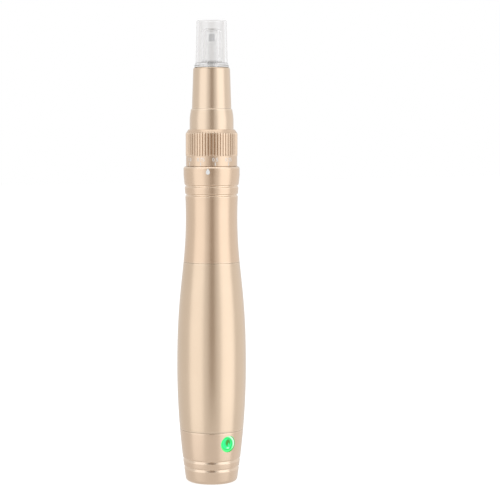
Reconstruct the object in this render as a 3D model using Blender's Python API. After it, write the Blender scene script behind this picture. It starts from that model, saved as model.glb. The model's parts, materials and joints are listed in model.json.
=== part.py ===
"""A microneedling pen, standing on its base with the power button facing -Y.

Lengths are in metres. +Z runs along the pen's axis, from the charging inlet to the needles.
"""

import math

import bmesh
import bpy
from mathutils import Matrix, Vector

MM = 0.001
FULL_TURN = 2 * math.pi

# Clearances
SEAM = 0.2 * MM  # between two housings that screw together
SEAT = 0.3 * MM  # between a piece and the face that it rests on
FIT = 0.15 * MM  # round a piece that is pressed, glued or screwed in
RUN = 0.2 * MM  # round a piece that turns or slides
PASS = 1.0 * MM  # how far a cutter runs past the wall that it cuts

# Facets round a turned piece
FINE = 28
MEDIUM = 20
SMALL = 16
TINY = 12
NEEDLE_SIDES = 6
WIRE_SIDES = 6  # round the drag ring's section
ROUND_STEPS = 3  # in a rounded edge
DOME_STEPS = 5
GRIP_STEP = 5.4 * MM  # between the points of the housings' outline
SMOOTH_ANGLE = math.radians(30)
WELD = 0.001 * MM
HALVING_END = 1e-9

# Housings: their lengths and the outline that they share
TAIL_LENGTH = 18.1 * MM
FRONT_LENGTH = 34.64 * MM
FOOT_RADIUS = 9.3 * MM
FOOT_ROUND = 1.0 * MM
BELLY_RADIUS = 12.34 * MM
BELLY_RISE = 23.2 * MM  # from the main barrel's lower end to the widest point
BELLY_FULLNESS = 29.0 * MM  # reach of the curve's handle above the belly
WAIST_RADIUS = 9.18 * MM
WAIST_DROP = 17.64 * MM  # from the collar's top down to the narrowest point
WAIST_FULLNESS = 19.5 * MM
COLLAR_LENGTH = 3.04 * MM
COLLAR_CHAMFER = 0.3 * MM
GROOVE_WIDTH = 0.9 * MM
GROOVE_DEPTH = 0.35 * MM
GROOVE_SLOPE = 0.22 * MM  # width of a groove's slanted side
COLLAR_GROOVES = (6.94 * MM, 10.14 * MM)  # below the collar's top
TAIL_GROOVES = (5.15 * MM, 8.1 * MM)  # above the base

# Walls and spigots of the housings
TAIL_WALL = 1.4 * MM
TAIL_FLOOR = 1.8 * MM
TAIL_SPIGOT_LENGTH = 5.0 * MM
TAIL_SPIGOT_WALL = 1.1 * MM
MAIN_WALL = 1.45 * MM  # at the tail seam, the thinnest place of the wide bore
FRONT_WALL = 1.6 * MM  # at the waist
FRONT_SPIGOT_LENGTH = 6.0 * MM
FRONT_SPIGOT_WALL = 0.95 * MM
NECK_WALL = 0.8 * MM
NECK_HEIGHT = 5.8 * MM
SHOULDER_STEP = 0.38 * MM
SHOULDER_DROP = 1.5 * MM

# Depth ring, its scale and its retainer
RING_HEIGHT = 12.91 * MM
RING_WALL = 0.9 * MM
RING_SWELL = 0.1 * MM  # the grip stands proud of the scale band
RING_BAND = 3.56 * MM
RING_CHAMFER = 1.45 * MM
RING_LIP = 0.25 * MM
FLUTES = 54
FLUTE_WIDTH = 0.42 * MM
FLUTE_DEPTH = 0.36 * MM
COLLAR_STEP = 0.87 * MM
RETAINER_RISE = 1.6 * MM
RETAINER_HEIGHT = 0.7 * MM
RETAINER_BITE = 0.3 * MM
RETAINER_SWEEP = math.radians(330)
DRAG_RING_DROP = 1.5 * MM  # below the neck's top
DRAG_RING_THICKNESS = 0.45 * MM

# Depth setting: the scale's first mark, its step, and where the ring stands at rest
SCALE_FIRST = 0.25 * MM
SCALE_STEP = 0.25 * MM
SCALE_MARKS = 10
REST_STEPS = 1.5  # steps past the first mark
REST_SETTING = SCALE_FIRST + REST_STEPS * SCALE_STEP
NOSE_RISE = REST_STEPS * SCALE_STEP  # the nose's travel up from rest
NOSE_DROP = (SCALE_MARKS - 1 - REST_STEPS) * SCALE_STEP  # and down from rest

# Nose
NOSE_STEP = 0.78 * MM  # the nose is wider than its key sleeve
NOSE_STAND = 4.25 * MM  # straight length above the ring
NOSE_FLARE = 3.1 * MM  # height of the cone between the straight part and the seam
CONE_TAPER = 0.48 * MM
CONE_LIP = 1.25 * MM  # wall round the cartridge's thread
CONE_LENGTH = 14.33 * MM
CONE_ROUND = 0.35 * MM
CONE_WALL = 1.4 * MM
CONE_SPIGOT_LENGTH = 5.5 * MM
KEY_SLEEVE_WALL = 0.75 * MM
KEY_PIN_RADIUS = 0.6 * MM
KEY_PIN_RISE = 1.6 * MM

# Needle cartridge
TIP_LENGTH = 14.8 * MM
TIP_RIM_RADIUS = 5.3 * MM
TIP_FOOT_RADIUS = 5.65 * MM
TIP_WALL = 0.8 * MM
TIP_RIM_ROUND = 0.2 * MM
TIP_FLOOR = 1.2 * MM
FLANGE_RADIUS = 6.1 * MM
FLANGE_HEIGHT = 0.75 * MM
BEAD_RADIUS = 5.9 * MM
BEAD_HEIGHT = 0.62 * MM
THREAD_RADIUS = 5.05 * MM
THREAD_DEPTH = 0.35 * MM
THREAD_LENGTH = 4.0 * MM
THREAD_RIDGES = 4
THREAD_CREST = 0.25 * MM  # flat on top of a ridge
SLEEVE_WALL = 1.4 * MM
SLEEVE_STEP = 0.4 * MM  # its bore is wider than its mouth
SLEEVE_DROP = 2.9 * MM  # from the rim to the sleeve's top
SLEEVE_LIP = 0.6 * MM
SPRING_ROOM = 1.13 * MM  # between the plunger and the stem's bore
STEM_WALL = 0.75 * MM
STEM_REACH = 11.6 * MM  # below the thread
STEM_SOCKET = 1.4 * MM
STEM_LIP = 1.0 * MM
PLUNGER_RADIUS = 1.22 * MM
PLUNGER_COLLAR = 1.0 * MM
PLUNGER_BUTTON_RADIUS = 2.25 * MM
PLUNGER_BUTTON_HEIGHT = 1.35 * MM
CARRIER_WALL = 0.35 * MM
CARRIER_HEAD_STEP = 0.1 * MM
CARRIER_HEAD_HEIGHT = 1.2 * MM
CARRIER_SOCKET = 2.0 * MM
PLUNGER_STEP = 0.32 * MM  # its spigot is thinner than its rod
NEEDLES = 9
NEEDLE_RADIUS = 0.14 * MM
NEEDLE_EDGE = 0.45 * MM  # from the needles' circle to the carrier's side
NEEDLE_SHOWING = 2.8 * MM
NEEDLE_POINT = 0.8 * MM
NEEDLE_SUNK = 1.8 * MM
NEEDLE_FIT = 0.06 * MM
NEEDLE_DEPTH = 4.2 * MM  # needle points below the rim at rest
STROKE = NEEDLE_DEPTH + REST_SETTING

# Return spring inside the cartridge
SPRING_WIRE = 0.28 * MM
SPRING_CURLS = 9
SPRING_POINTS = 9  # for each curl

# Needle drive
ROD_RADIUS = 1.5 * MM
ROD_CUP_WALL = 0.55 * MM
ROD_HEAD_HEIGHT = 1.9 * MM
ROD_CUP = 1.0 * MM
BUSH_WALL = 1.0 * MM
TOWER_HEIGHT = 6.0 * MM
TOWER_GAP = 0.75 * MM
PLATE_THICKNESS = 1.8 * MM
HOUSING_WALL = 1.1 * MM
FOLLOWER_THICKNESS = 2.2 * MM
FOLLOWER_GAP = 0.6 * MM
WING_WIDTH = 2.0 * MM
FOLLOWER_PIN_RADIUS = 0.9 * MM
FOLLOWER_PIN_REACH = 1.5 * MM
FOLLOWER_PIN_EDGE = 0.63 * MM  # from the pin to the follower's side
CAM_GAP = 0.8 * MM
CAM_HUB = 1.1 * MM

# Motor
MOTOR_LENGTH = 20.0 * MM
MOTOR_GRIP = 12.0 * MM  # length that the drive housing holds
MOTOR_CAN_WALL = 0.6 * MM
MOTOR_CAP_HEIGHT = 1.5 * MM
MOTOR_CAP_PLUG = 2.0 * MM
MOTOR_GAP = 0.4 * MM
SHAFT_RADIUS = 1.0 * MM
LOCK_RING_HEIGHT = 2.0 * MM
GRUB_RADIUS = 0.8 * MM
WIRING_ROOM = 8.84 * MM  # between the cell's cap and the motor

# Cell and its holders
CELL_LENGTH = 34.0 * MM
CELL_NUB_RADIUS = 3.0 * MM
CELL_NUB_HEIGHT = 0.8 * MM
HOLDER_WALL = 0.9 * MM
HOLDER_HEIGHT = 5.0 * MM
HOLDER_FLOOR = 1.6 * MM
TAB_THICKNESS = 0.3 * MM
TAB_WIDTH = 4.0 * MM
TAB_EDGE = 2.0 * MM  # from a tab's end to the cell's side

# Leads: their places round the axis, in degrees from +X
LEAD_RADIUS = 0.4 * MM
LEAD_STEP = 2.5 * MM
LEAD_NOTCH = 2.4 * MM
NOTCH_BITE = 1.6 * MM  # how far a notch reaches over the cell
MOTOR_RED_ANGLE = 35
CELL_RED_ANGLE = 70
CELL_BLACK_ANGLE = 110
MOTOR_BLACK_ANGLE = 145
SOLDER_SPREAD = 0.5  # how far apart the joints on the board are, of the leads' spread above it

# Control board, switch and button
BOARD_GAP = 2.3 * MM  # above the charging inlet
BOARD_THICKNESS = 1.0 * MM
BOARD_RAIL = 1.3 * MM  # width of the rails that hold its edges
BOARD_LIP = 0.8 * MM  # thickness of the rails before and behind it
SWITCH_SIDE = 3.2 * MM
SWITCH_HEIGHT = 1.6 * MM
SWITCH_PLUNGER_RADIUS = 0.8 * MM
SWITCH_PLUNGER_LENGTH = 0.4 * MM
BUTTON_DROP = 3.3 * MM  # its middle below the tail's seam
BUTTON_RADIUS = 2.95 * MM
BUTTON_PROUD = 0.3 * MM
BUTTON_DOME = 0.55 * MM
BUTTON_TRAVEL = 0.5 * MM
BUTTON_FLANGE = 0.7 * MM  # how far its retaining flange reaches past the cap
BUTTON_FLANGE_HEIGHT = 0.8 * MM
BUTTON_STEM_RADIUS = 1.1 * MM
BUTTON_STEM_LENGTH = 0.45 * MM
SPOT_FACE = 0.45 * MM  # width of the flat turned round the button
LED_SIDE = 1.2 * MM
LED_HEIGHT = 0.8 * MM
CHIP_SIDE = 4.0 * MM
CHIP_HEIGHT = 1.0 * MM
CHIP_GAP = 1.5 * MM  # below the leads' joints

# Charging inlet
JACK_BORE = 2.85 * MM
JACK_WALL = 0.45 * MM
JACK_BODY_WALL = 1.0 * MM
JACK_LENGTH = 6.6 * MM
JACK_BACK = 1.2 * MM
JACK_RECESS = 0.4 * MM
JACK_PIN_RADIUS = 1.0 * MM
JACK_PIN_RECESS = 2.0 * MM  # below the inlet's mouth

# Radii, worked out from the waist inwards and then outwards through the ring
FRONT_BORE = WAIST_RADIUS - FRONT_WALL
FRONT_SPIGOT_RADIUS = FRONT_BORE + FRONT_SPIGOT_WALL
MOUTH_BORE = FRONT_SPIGOT_RADIUS + FIT
NECK_BORE = FRONT_BORE - SHOULDER_STEP
NECK_RADIUS = NECK_BORE + NECK_WALL
RING_BORE = NECK_RADIUS + RUN
RING_RADIUS = RING_BORE + RING_WALL
GRIP_RADIUS = RING_RADIUS + RING_SWELL
COLLAR_RADIUS = RING_RADIUS + COLLAR_STEP
KEY_SLEEVE_RADIUS = NECK_BORE - RUN
KEY_SLEEVE_BORE = KEY_SLEEVE_RADIUS - KEY_SLEEVE_WALL
NOSE_RADIUS = KEY_SLEEVE_RADIUS + NOSE_STEP
TOWER_RADIUS = KEY_SLEEVE_BORE - TOWER_GAP
DRIVE_RADIUS = FRONT_BORE - FIT
DRIVE_BORE = DRIVE_RADIUS - HOUSING_WALL
MOTOR_RADIUS = DRIVE_BORE - FIT
CAM_RADIUS = DRIVE_BORE - CAM_GAP
FOLLOWER_RADIUS = DRIVE_BORE - FOLLOWER_GAP
FOLLOWER_PIN_CIRCLE = FOLLOWER_RADIUS - FOLLOWER_PIN_RADIUS - FOLLOWER_PIN_EDGE
TAIL_BORE = FOOT_RADIUS - TAIL_WALL

# Radii of the cartridge and of what it passes through, from the plunger outwards
PLUNGER_HOLE = PLUNGER_RADIUS + RUN
SOCKET_RADIUS = PLUNGER_RADIUS - PLUNGER_STEP
CARRIER_RADIUS = SOCKET_RADIUS + FIT + CARRIER_WALL
CARRIER_HEAD_RADIUS = CARRIER_RADIUS + CARRIER_HEAD_STEP
NEEDLE_CIRCLE = CARRIER_RADIUS - NEEDLE_EDGE
STEM_BORE = PLUNGER_RADIUS + SPRING_ROOM
STEM_RADIUS = STEM_BORE + STEM_WALL
ROD_CUP_RADIUS = PLUNGER_BUTTON_RADIUS + RUN
ROD_HEAD_RADIUS = ROD_CUP_RADIUS + ROD_CUP_WALL
CONE_BORE = max(STEM_RADIUS, ROD_HEAD_RADIUS) + FIT + RUN
CONE_SOCKET = THREAD_RADIUS + RUN
CONE_TOP_RADIUS = CONE_SOCKET + CONE_LIP
CONE_FOOT_RADIUS = CONE_TOP_RADIUS + CONE_TAPER

# Heights of the tail, the inlet, the cell and its holders
TAIL_TOP = TAIL_LENGTH
MAIN_FOOT = TAIL_TOP + SEAM
BELLY_HEIGHT = MAIN_FOOT + BELLY_RISE
BUTTON_HEIGHT = TAIL_TOP - BUTTON_DROP
TAIL_SPIGOT_TOP = TAIL_TOP + TAIL_SPIGOT_LENGTH
JACK_FLANGE_FOOT = TAIL_FLOOR + SEAT
JACK_TOP = JACK_FLANGE_FOOT + JACK_LENGTH
CHASSIS_FOOT = TAIL_SPIGOT_TOP + SEAT
CHASSIS_TOP = CHASSIS_FOOT + HOLDER_FLOOR
CELL_FOOT = CHASSIS_TOP + TAB_THICKNESS + 2 * FIT
CELL_TOP = CELL_FOOT + CELL_LENGTH
CELL_NUB_TOP = CELL_TOP + CELL_NUB_HEIGHT
HOLDER_TOP = CELL_NUB_TOP + TAB_THICKNESS + 2 * FIT + HOLDER_FLOOR
MOUTH_FOOT = HOLDER_TOP + SEAT

# Heights of the needle drive, from the cell up to the front barrel's shoulder
CAM_SLOPE = math.atan2(STROKE / 2, FOLLOWER_PIN_CIRCLE)
CAM_LASH = (FOLLOWER_PIN_RADIUS + SEAT) / math.cos(CAM_SLOPE) - FOLLOWER_PIN_RADIUS
MOTOR_FOOT = HOLDER_TOP + WIRING_ROOM + MOTOR_CAP_HEIGHT
MOTOR_TOP = MOTOR_FOOT + MOTOR_LENGTH
DRIVE_FOOT = MOTOR_TOP - MOTOR_GRIP
CAM_FOOT = MOTOR_TOP + MOTOR_GAP
CAM_MIDDLE = CAM_FOOT + CAM_HUB + CAM_RADIUS * math.tan(CAM_SLOPE)
FOLLOWER_POINT = CAM_MIDDLE + STROKE / 2 + CAM_LASH
FOLLOWER_FOOT = FOLLOWER_POINT + FOLLOWER_PIN_REACH
FOLLOWER_TOP = FOLLOWER_FOOT + FOLLOWER_THICKNESS
PLATE_FOOT = FOLLOWER_TOP + STROKE + SEAT
DRIVE_TOP = PLATE_FOOT + PLATE_THICKNESS

# Heights of the upper seams
FRONT_TOP = DRIVE_TOP + SEAM + SHOULDER_DROP
FRONT_FOOT = FRONT_TOP - FRONT_LENGTH
MAIN_TOP = FRONT_FOOT - SEAM
WAIST_HEIGHT = FRONT_TOP - WAIST_DROP
COLLAR_FOOT = FRONT_TOP - COLLAR_LENGTH
NECK_TOP = FRONT_TOP + NECK_HEIGHT
RING_FOOT = FRONT_TOP + SEAM
RING_TOP = RING_FOOT + RING_HEIGHT
NOSE_TOP = RING_TOP + NOSE_STAND + NOSE_FLARE
CONE_FOOT = NOSE_TOP + SEAM
CONE_TOP = CONE_FOOT + CONE_LENGTH
FLANGE_FOOT = CONE_TOP + SEAM
BEAD_FOOT = FLANGE_FOOT + FLANGE_HEIGHT
FLANGE_TOP = BEAD_FOOT + BEAD_HEIGHT
RIM = FLANGE_TOP + TIP_LENGTH

# Heights inside the nose and the cartridge
NOSE_FOOT = DRIVE_TOP + NOSE_DROP + SEAT
NOSE_SHOULDER = NECK_TOP + NOSE_DROP + SEAT
SPIGOT_FOOT = CONE_FOOT - CONE_SPIGOT_LENGTH
THREAD_FOOT = FLANGE_FOOT - THREAD_LENGTH
STEM_FOOT = THREAD_FOOT - STEM_REACH
STEM_TOP = THREAD_FOOT + STEM_SOCKET
TIP_FLOOR_TOP = FLANGE_FOOT + TIP_FLOOR
COLLAR_PIN_FOOT = STEM_FOOT + STEM_LIP + NOSE_RISE + SEAT
COLLAR_PIN_TOP = COLLAR_PIN_FOOT + PLUNGER_COLLAR
PLUNGER_BUTTON_TOP = STEM_FOOT - STROKE - NOSE_DROP - SEAT
PLUNGER_FOOT = PLUNGER_BUTTON_TOP - PLUNGER_BUTTON_HEIGHT
ROD_FLOOR = PLUNGER_FOOT - SEAT
NEEDLE_TIPS = RIM - NEEDLE_DEPTH
CARRIER_TOP = NEEDLE_TIPS - NEEDLE_SHOWING
CARRIER_FOOT = TIP_FLOOR_TOP + NOSE_RISE + SEAT

# The button's stack, outwards from the axis, and the board that it presses on
BUTTON_FLANGE_RADIUS = BUTTON_RADIUS + BUTTON_FLANGE
BUTTON_FLANGE_TOP = math.sqrt(TAIL_BORE**2 - BUTTON_FLANGE_RADIUS**2) - RUN
BUTTON_FLANGE_FOOT = BUTTON_FLANGE_TOP - BUTTON_FLANGE_HEIGHT
BUTTON_STEM_FOOT = BUTTON_FLANGE_FOOT - BUTTON_STEM_LENGTH
SWITCH_PLUNGER_TOP = BUTTON_STEM_FOOT - FIT
SWITCH_PLUNGER_FOOT = SWITCH_PLUNGER_TOP - SWITCH_PLUNGER_LENGTH
SWITCH_TOP = SWITCH_PLUNGER_FOOT - BUTTON_TRAVEL - FIT
BOARD_FRONT = SWITCH_TOP - SWITCH_HEIGHT - FIT
BOARD_TOP = CHASSIS_FOOT
BOARD_HEIGHT = BOARD_TOP - JACK_TOP - BOARD_GAP
LEAD_ENTRY = BOARD_TOP - LEAD_NOTCH
SOLDER_HEIGHT = LEAD_ENTRY - LEAD_STEP
RAIL_REACH = math.sqrt((TAIL_BORE - SEAT) ** 2 - (BOARD_FRONT + BOARD_LIP) ** 2)
BOARD_WIDTH = 2 * RAIL_REACH - BOARD_RAIL


def clear_scene():
    for old in list(bpy.data.objects):
        bpy.data.objects.remove(old)


def finish(name, colour, roughness, metallic=0.0, clear=0.0):
    """A plain surface: its linear colour, roughness, metalness and how much light passes."""
    material = bpy.data.materials.new(name)
    material.use_nodes = True
    shader = material.node_tree.nodes["Principled BSDF"]
    shader.inputs["Base Color"].default_value = (*colour, 1)
    shader.inputs["Roughness"].default_value = roughness
    shader.inputs["Metallic"].default_value = metallic
    shader.inputs["Transmission Weight"].default_value = clear
    return material


clear_scene()
ALUMINIUM = finish("champagne_aluminium", (0.78, 0.61, 0.46), 0.3, 1.0)
STEEL = finish("stainless_steel", (0.6, 0.6, 0.6), 0.25, 1.0)
BRASS = finish("brass", (0.75, 0.56, 0.28), 0.3, 1.0)
COPPER = finish("copper_winding", (0.7, 0.33, 0.18), 0.4, 1.0)
CLEAR = finish("clear_plastic", (0.95, 0.96, 0.95), 0.08, clear=0.9)
WHITE = finish("white_plastic", (0.8, 0.8, 0.78), 0.4)
BLACK = finish("black_nylon", (0.02, 0.02, 0.02), 0.5)
RUBBER = finish("silicone", (0.5, 0.5, 0.5), 0.6)
LIT = finish("lit_button", (0.05, 0.9, 0.35), 0.25, clear=0.4)
LAMINATE = finish("board_laminate", (0.02, 0.16, 0.07), 0.4)
WRAP = finish("cell_wrap", (0.05, 0.12, 0.45), 0.35)
RED = finish("red_insulation", (0.55, 0.02, 0.02), 0.45)
DARK = finish("black_insulation", (0.015, 0.015, 0.015), 0.45)


def group(name):
    """An empty on the pen's axis that carries the pieces of one moving body."""
    empty = bpy.data.objects.new(name, None)
    bpy.context.scene.collection.objects.link(empty)
    return empty


def placed(name, mesh, material, parent=None):
    piece = bpy.data.objects.new(name, mesh)
    bpy.context.scene.collection.objects.link(piece)
    mesh.materials.append(material)
    piece.parent = parent
    return piece


def meshed(name, shape):
    """The mesh of a finished bmesh, welded, facing out and shaded smooth on its round faces."""
    bmesh.ops.remove_doubles(shape, verts=shape.verts, dist=WELD)
    bmesh.ops.recalc_face_normals(shape, faces=shape.faces)
    mesh = bpy.data.meshes.new(name)
    shape.to_mesh(mesh)
    shape.free()
    mesh.shade_smooth()
    mesh.set_sharp_from_angle(angle=SMOOTH_ANGLE)
    return mesh


def turned(name, outline, material, sides=FINE, parent=None, sweep=FULL_TURN):
    """A piece turned about Z from an outline of (radius, height) corners, with its origin at its foot."""
    foot = min(height for radius, height in outline)
    shape = bmesh.new()
    corners = [shape.verts.new((radius, 0, height - foot)) for radius, height in outline]
    edges = [shape.edges.new(pair) for pair in zip(corners, corners[1:])]
    if outline[0][0] > 0:
        edges.append(shape.edges.new((corners[-1], corners[0])))
    whole = sweep == FULL_TURN
    bmesh.ops.spin(
        shape,
        geom=corners + edges,
        axis=(0, 0, 1),
        cent=(0, 0, 0),
        angle=sweep,
        steps=sides,
        use_merge=whole,
    )
    if not whole:
        ends = [edge for edge in shape.edges if edge.is_boundary]
        bmesh.ops.holes_fill(shape, edges=ends)
    piece = placed(name, meshed(name, shape), material, parent)
    piece.location.z = foot
    return piece


def solid_outline(radius, foot, top):
    """Outline of a plain pin or hole."""
    return [(0, foot), (radius, foot), (radius, top), (0, top)]


def ring_outline(radius, bore, foot, top):
    """Outline of a plain ring or bush."""
    return [(radius, foot), (radius, top), (bore, top), (bore, foot)]


def block(name, size, centre, material, parent=None):
    """A rectangular piece with its origin at its centre."""
    shape = bmesh.new()
    bmesh.ops.create_cube(shape, size=1)
    bmesh.ops.scale(shape, vec=size, verts=shape.verts)
    mesh = bpy.data.meshes.new(name)
    shape.to_mesh(mesh)
    shape.free()
    piece = placed(name, mesh, material, parent)
    piece.location = centre
    return piece


def aimed(piece, direction, start=(0, 0, 0)):
    """Turns a piece's Z axis to a direction, with its foot as far from the start as it was high."""
    towards = Vector(direction).normalized()
    foot = piece.location.z
    piece.rotation_euler = towards.to_track_quat("Z", "Y").to_euler()
    piece.location = Vector(start) + foot * towards
    return piece


def helper(piece):
    piece.hide_render = True
    piece.display_type = "WIRE"
    return piece


def combine(target, other, operation):
    """Cuts a helper out of a piece, or joins it on."""
    helper(other)
    modifier = target.modifiers.new(other.name, "BOOLEAN")
    modifier.operation = operation
    modifier.object = other
    modifier.solver = "EXACT"


def cut(target, other):
    combine(target, other, "DIFFERENCE")


def join(target, other):
    combine(target, other, "UNION")


def swell_radius(height):
    """Radius of the smooth curve between the belly and the waist, found by halving its span."""
    heights = (BELLY_HEIGHT, BELLY_HEIGHT + BELLY_FULLNESS, WAIST_HEIGHT - WAIST_FULLNESS, WAIST_HEIGHT)
    radii = (BELLY_RADIUS, BELLY_RADIUS, WAIST_RADIUS, WAIST_RADIUS)

    def along(values, t):
        a, b, c, d = values
        return a * (1 - t) ** 3 + 3 * b * t * (1 - t) ** 2 + 3 * c * t**2 * (1 - t) + d * t**3

    low, high = 0.0, 1.0
    while high - low > HALVING_END:
        middle = (low + high) / 2
        if along(heights, middle) < height:
            low = middle
        else:
            high = middle
    return along(radii, low)


def grip_radius(height):
    """Outer radius of the tail, main and front housings at a height."""
    if height <= BELLY_HEIGHT:
        below = (BELLY_HEIGHT - height) / (BELLY_HEIGHT - FOOT_ROUND)
        return BELLY_RADIUS - (BELLY_RADIUS - FOOT_RADIUS) * below**2
    if height < WAIST_HEIGHT:
        return swell_radius(height)
    if height < COLLAR_FOOT:
        above = (height - WAIST_HEIGHT) / (COLLAR_FOOT - WAIST_HEIGHT)
        return WAIST_RADIUS + (COLLAR_RADIUS - WAIST_RADIUS) * above**2
    return COLLAR_RADIUS


def grip_line(start, end):
    """Points up the housings' outline between two heights."""
    steps = max(1, round((end - start) / GRIP_STEP))
    heights = [start + (end - start) * step / steps for step in range(steps + 1)]
    return [(grip_radius(height), height) for height in heights]


def groove(height):
    """A flat-bottomed groove turned into the housings' outline."""
    radius = grip_radius(height) - GROOVE_DEPTH
    low = height - GROOVE_WIDTH / 2
    high = height + GROOVE_WIDTH / 2
    return [
        (grip_radius(low), low),
        (radius, low + GROOVE_SLOPE),
        (radius, high - GROOVE_SLOPE),
        (grip_radius(high), high),
    ]


def quarter(centre_radius, centre_height, radius, start):
    """Points of a quarter circle, from a start angle in degrees on."""
    points = []
    for step in range(ROUND_STEPS + 1):
        angle = math.radians(start + 90 * step / ROUND_STEPS)
        points.append((centre_radius + radius * math.cos(angle), centre_height + radius * math.sin(angle)))
    return points


# Tail housing
MAIN_BORE = grip_radius(MAIN_FOOT) - MAIN_WALL
TAIL_SPIGOT_RADIUS = MAIN_BORE - FIT
TAIL_SPIGOT_BORE = TAIL_SPIGOT_RADIUS - TAIL_SPIGOT_WALL
JACK_RADIUS = JACK_BORE + JACK_WALL
BUTTON_FACE = grip_radius(BUTTON_HEIGHT)
WALL_CREST = math.sqrt(BUTTON_FACE**2 - (BUTTON_RADIUS + SPOT_FACE) ** 2)


def tail_housing():
    outline = [(JACK_RADIUS + FIT, 0)]
    outline += quarter(FOOT_RADIUS - FOOT_ROUND, FOOT_ROUND, FOOT_ROUND, -90)
    for height in TAIL_GROOVES:
        outline += groove(height)
    outline += grip_line(TAIL_GROOVES[-1] + GROOVE_WIDTH, TAIL_TOP)
    outline += [
        (TAIL_SPIGOT_RADIUS, TAIL_TOP),
        (TAIL_SPIGOT_RADIUS, TAIL_SPIGOT_TOP),
        (TAIL_SPIGOT_BORE, TAIL_SPIGOT_TOP),
        (TAIL_SPIGOT_BORE, TAIL_TOP),
        (TAIL_BORE, TAIL_TOP),
        (TAIL_BORE, TAIL_FLOOR),
        (JACK_RADIUS + FIT, TAIL_FLOOR),
    ]
    housing = turned("tail_housing", outline, ALUMINIUM)
    spot = BUTTON_RADIUS + SPOT_FACE
    hole = BUTTON_RADIUS + RUN
    outer = BELLY_RADIUS + PASS
    bore = [
        (0, BOARD_FRONT),
        (hole, BOARD_FRONT),
        (hole, WALL_CREST),
        (spot, WALL_CREST),
        (spot, outer),
        (0, outer),
    ]
    cutter = turned("button_hole", bore, ALUMINIUM, MEDIUM)
    cut(housing, aimed(cutter, (0, -1, 0), (0, 0, BUTTON_HEIGHT)))


def main_barrel():
    outline = grip_line(MAIN_FOOT, MAIN_TOP)
    outline += [
        (MOUTH_BORE, MAIN_TOP),
        (MOUTH_BORE, MOUTH_FOOT),
        (MAIN_BORE, MOUTH_FOOT),
        (MAIN_BORE, MAIN_FOOT),
    ]
    turned("main_barrel", outline, ALUMINIUM)


# Front barrel with its collar and neck
FRONT_SPIGOT_FOOT = FRONT_FOOT - FRONT_SPIGOT_LENGTH
RETAINER_FOOT = FRONT_TOP + RETAINER_RISE
RETAINER_TOP = RETAINER_FOOT + RETAINER_HEIGHT
DRAG_RING_MIDDLE = NECK_TOP - DRAG_RING_DROP
SLOT_WIDTH = 2 * (KEY_PIN_RADIUS + FIT)
KEY_PIN_HEIGHT = NOSE_FOOT + KEY_PIN_RISE
SLOT_FOOT = KEY_PIN_HEIGHT - KEY_PIN_RADIUS - NOSE_DROP - SEAT


def neck_groove(middle, height, depth):
    low = middle - height / 2
    high = middle + height / 2
    bottom = NECK_RADIUS - depth
    return [(NECK_RADIUS, low), (bottom, low), (bottom, high), (NECK_RADIUS, high)]


def front_barrel():
    retainer_middle = (RETAINER_FOOT + RETAINER_TOP) / 2
    upper_groove, lower_groove = (FRONT_TOP - drop for drop in COLLAR_GROOVES)
    outline = [(FRONT_SPIGOT_RADIUS, FRONT_SPIGOT_FOOT), (FRONT_SPIGOT_RADIUS, FRONT_FOOT)]
    outline += grip_line(FRONT_FOOT, lower_groove - GROOVE_WIDTH)
    outline += groove(lower_groove) + groove(upper_groove)
    outline += grip_line(upper_groove + GROOVE_WIDTH, COLLAR_FOOT)
    outline += [
        (COLLAR_RADIUS, FRONT_TOP - COLLAR_CHAMFER),
        (COLLAR_RADIUS - COLLAR_CHAMFER, FRONT_TOP),
        (NECK_RADIUS, FRONT_TOP),
    ]
    outline += neck_groove(retainer_middle, RETAINER_HEIGHT + 2 * FIT, RETAINER_BITE + FIT)
    drag_depth = DRAG_RING_THICKNESS - RUN / 2 + FIT / 2
    outline += neck_groove(DRAG_RING_MIDDLE, DRAG_RING_THICKNESS + 2 * FIT, drag_depth)
    outline += [
        (NECK_RADIUS, NECK_TOP),
        (NECK_BORE, NECK_TOP),
        (NECK_BORE, FRONT_TOP - SHOULDER_DROP),
        (FRONT_BORE, FRONT_TOP - SHOULDER_DROP),
        (FRONT_BORE, FRONT_SPIGOT_FOOT),
    ]
    barrel = turned("front_barrel", outline, ALUMINIUM)
    height = NECK_TOP + PASS - SLOT_FOOT
    size = (2 * NECK_RADIUS + RUN, SLOT_WIDTH, height)
    cut(barrel, block("key_slots", size, (0, 0, SLOT_FOOT + height / 2), ALUMINIUM))


def ring_retainer():
    inner = NECK_RADIUS - RETAINER_BITE
    outer = RING_BORE + RETAINER_BITE
    outline = ring_outline(outer, inner, RETAINER_FOOT, RETAINER_TOP)
    turned("ring_retainer", outline, STEEL, MEDIUM, sweep=RETAINER_SWEEP)


def ring_drag_o_ring():
    half = DRAG_RING_THICKNESS / 2
    centre = NECK_RADIUS + RUN / 2 - half
    angles = [FULL_TURN * step / WIRE_SIDES for step in range(WIRE_SIDES)]
    outline = [(centre + half * math.cos(a), DRAG_RING_MIDDLE + half * math.sin(a)) for a in angles]
    turned("ring_drag_o_ring", outline, RUBBER)


# Depth ring
RING_COUNTERBORE_TOP = NECK_TOP + SEAT
RING_THREAD_BORE = NOSE_RADIUS + RUN


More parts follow.
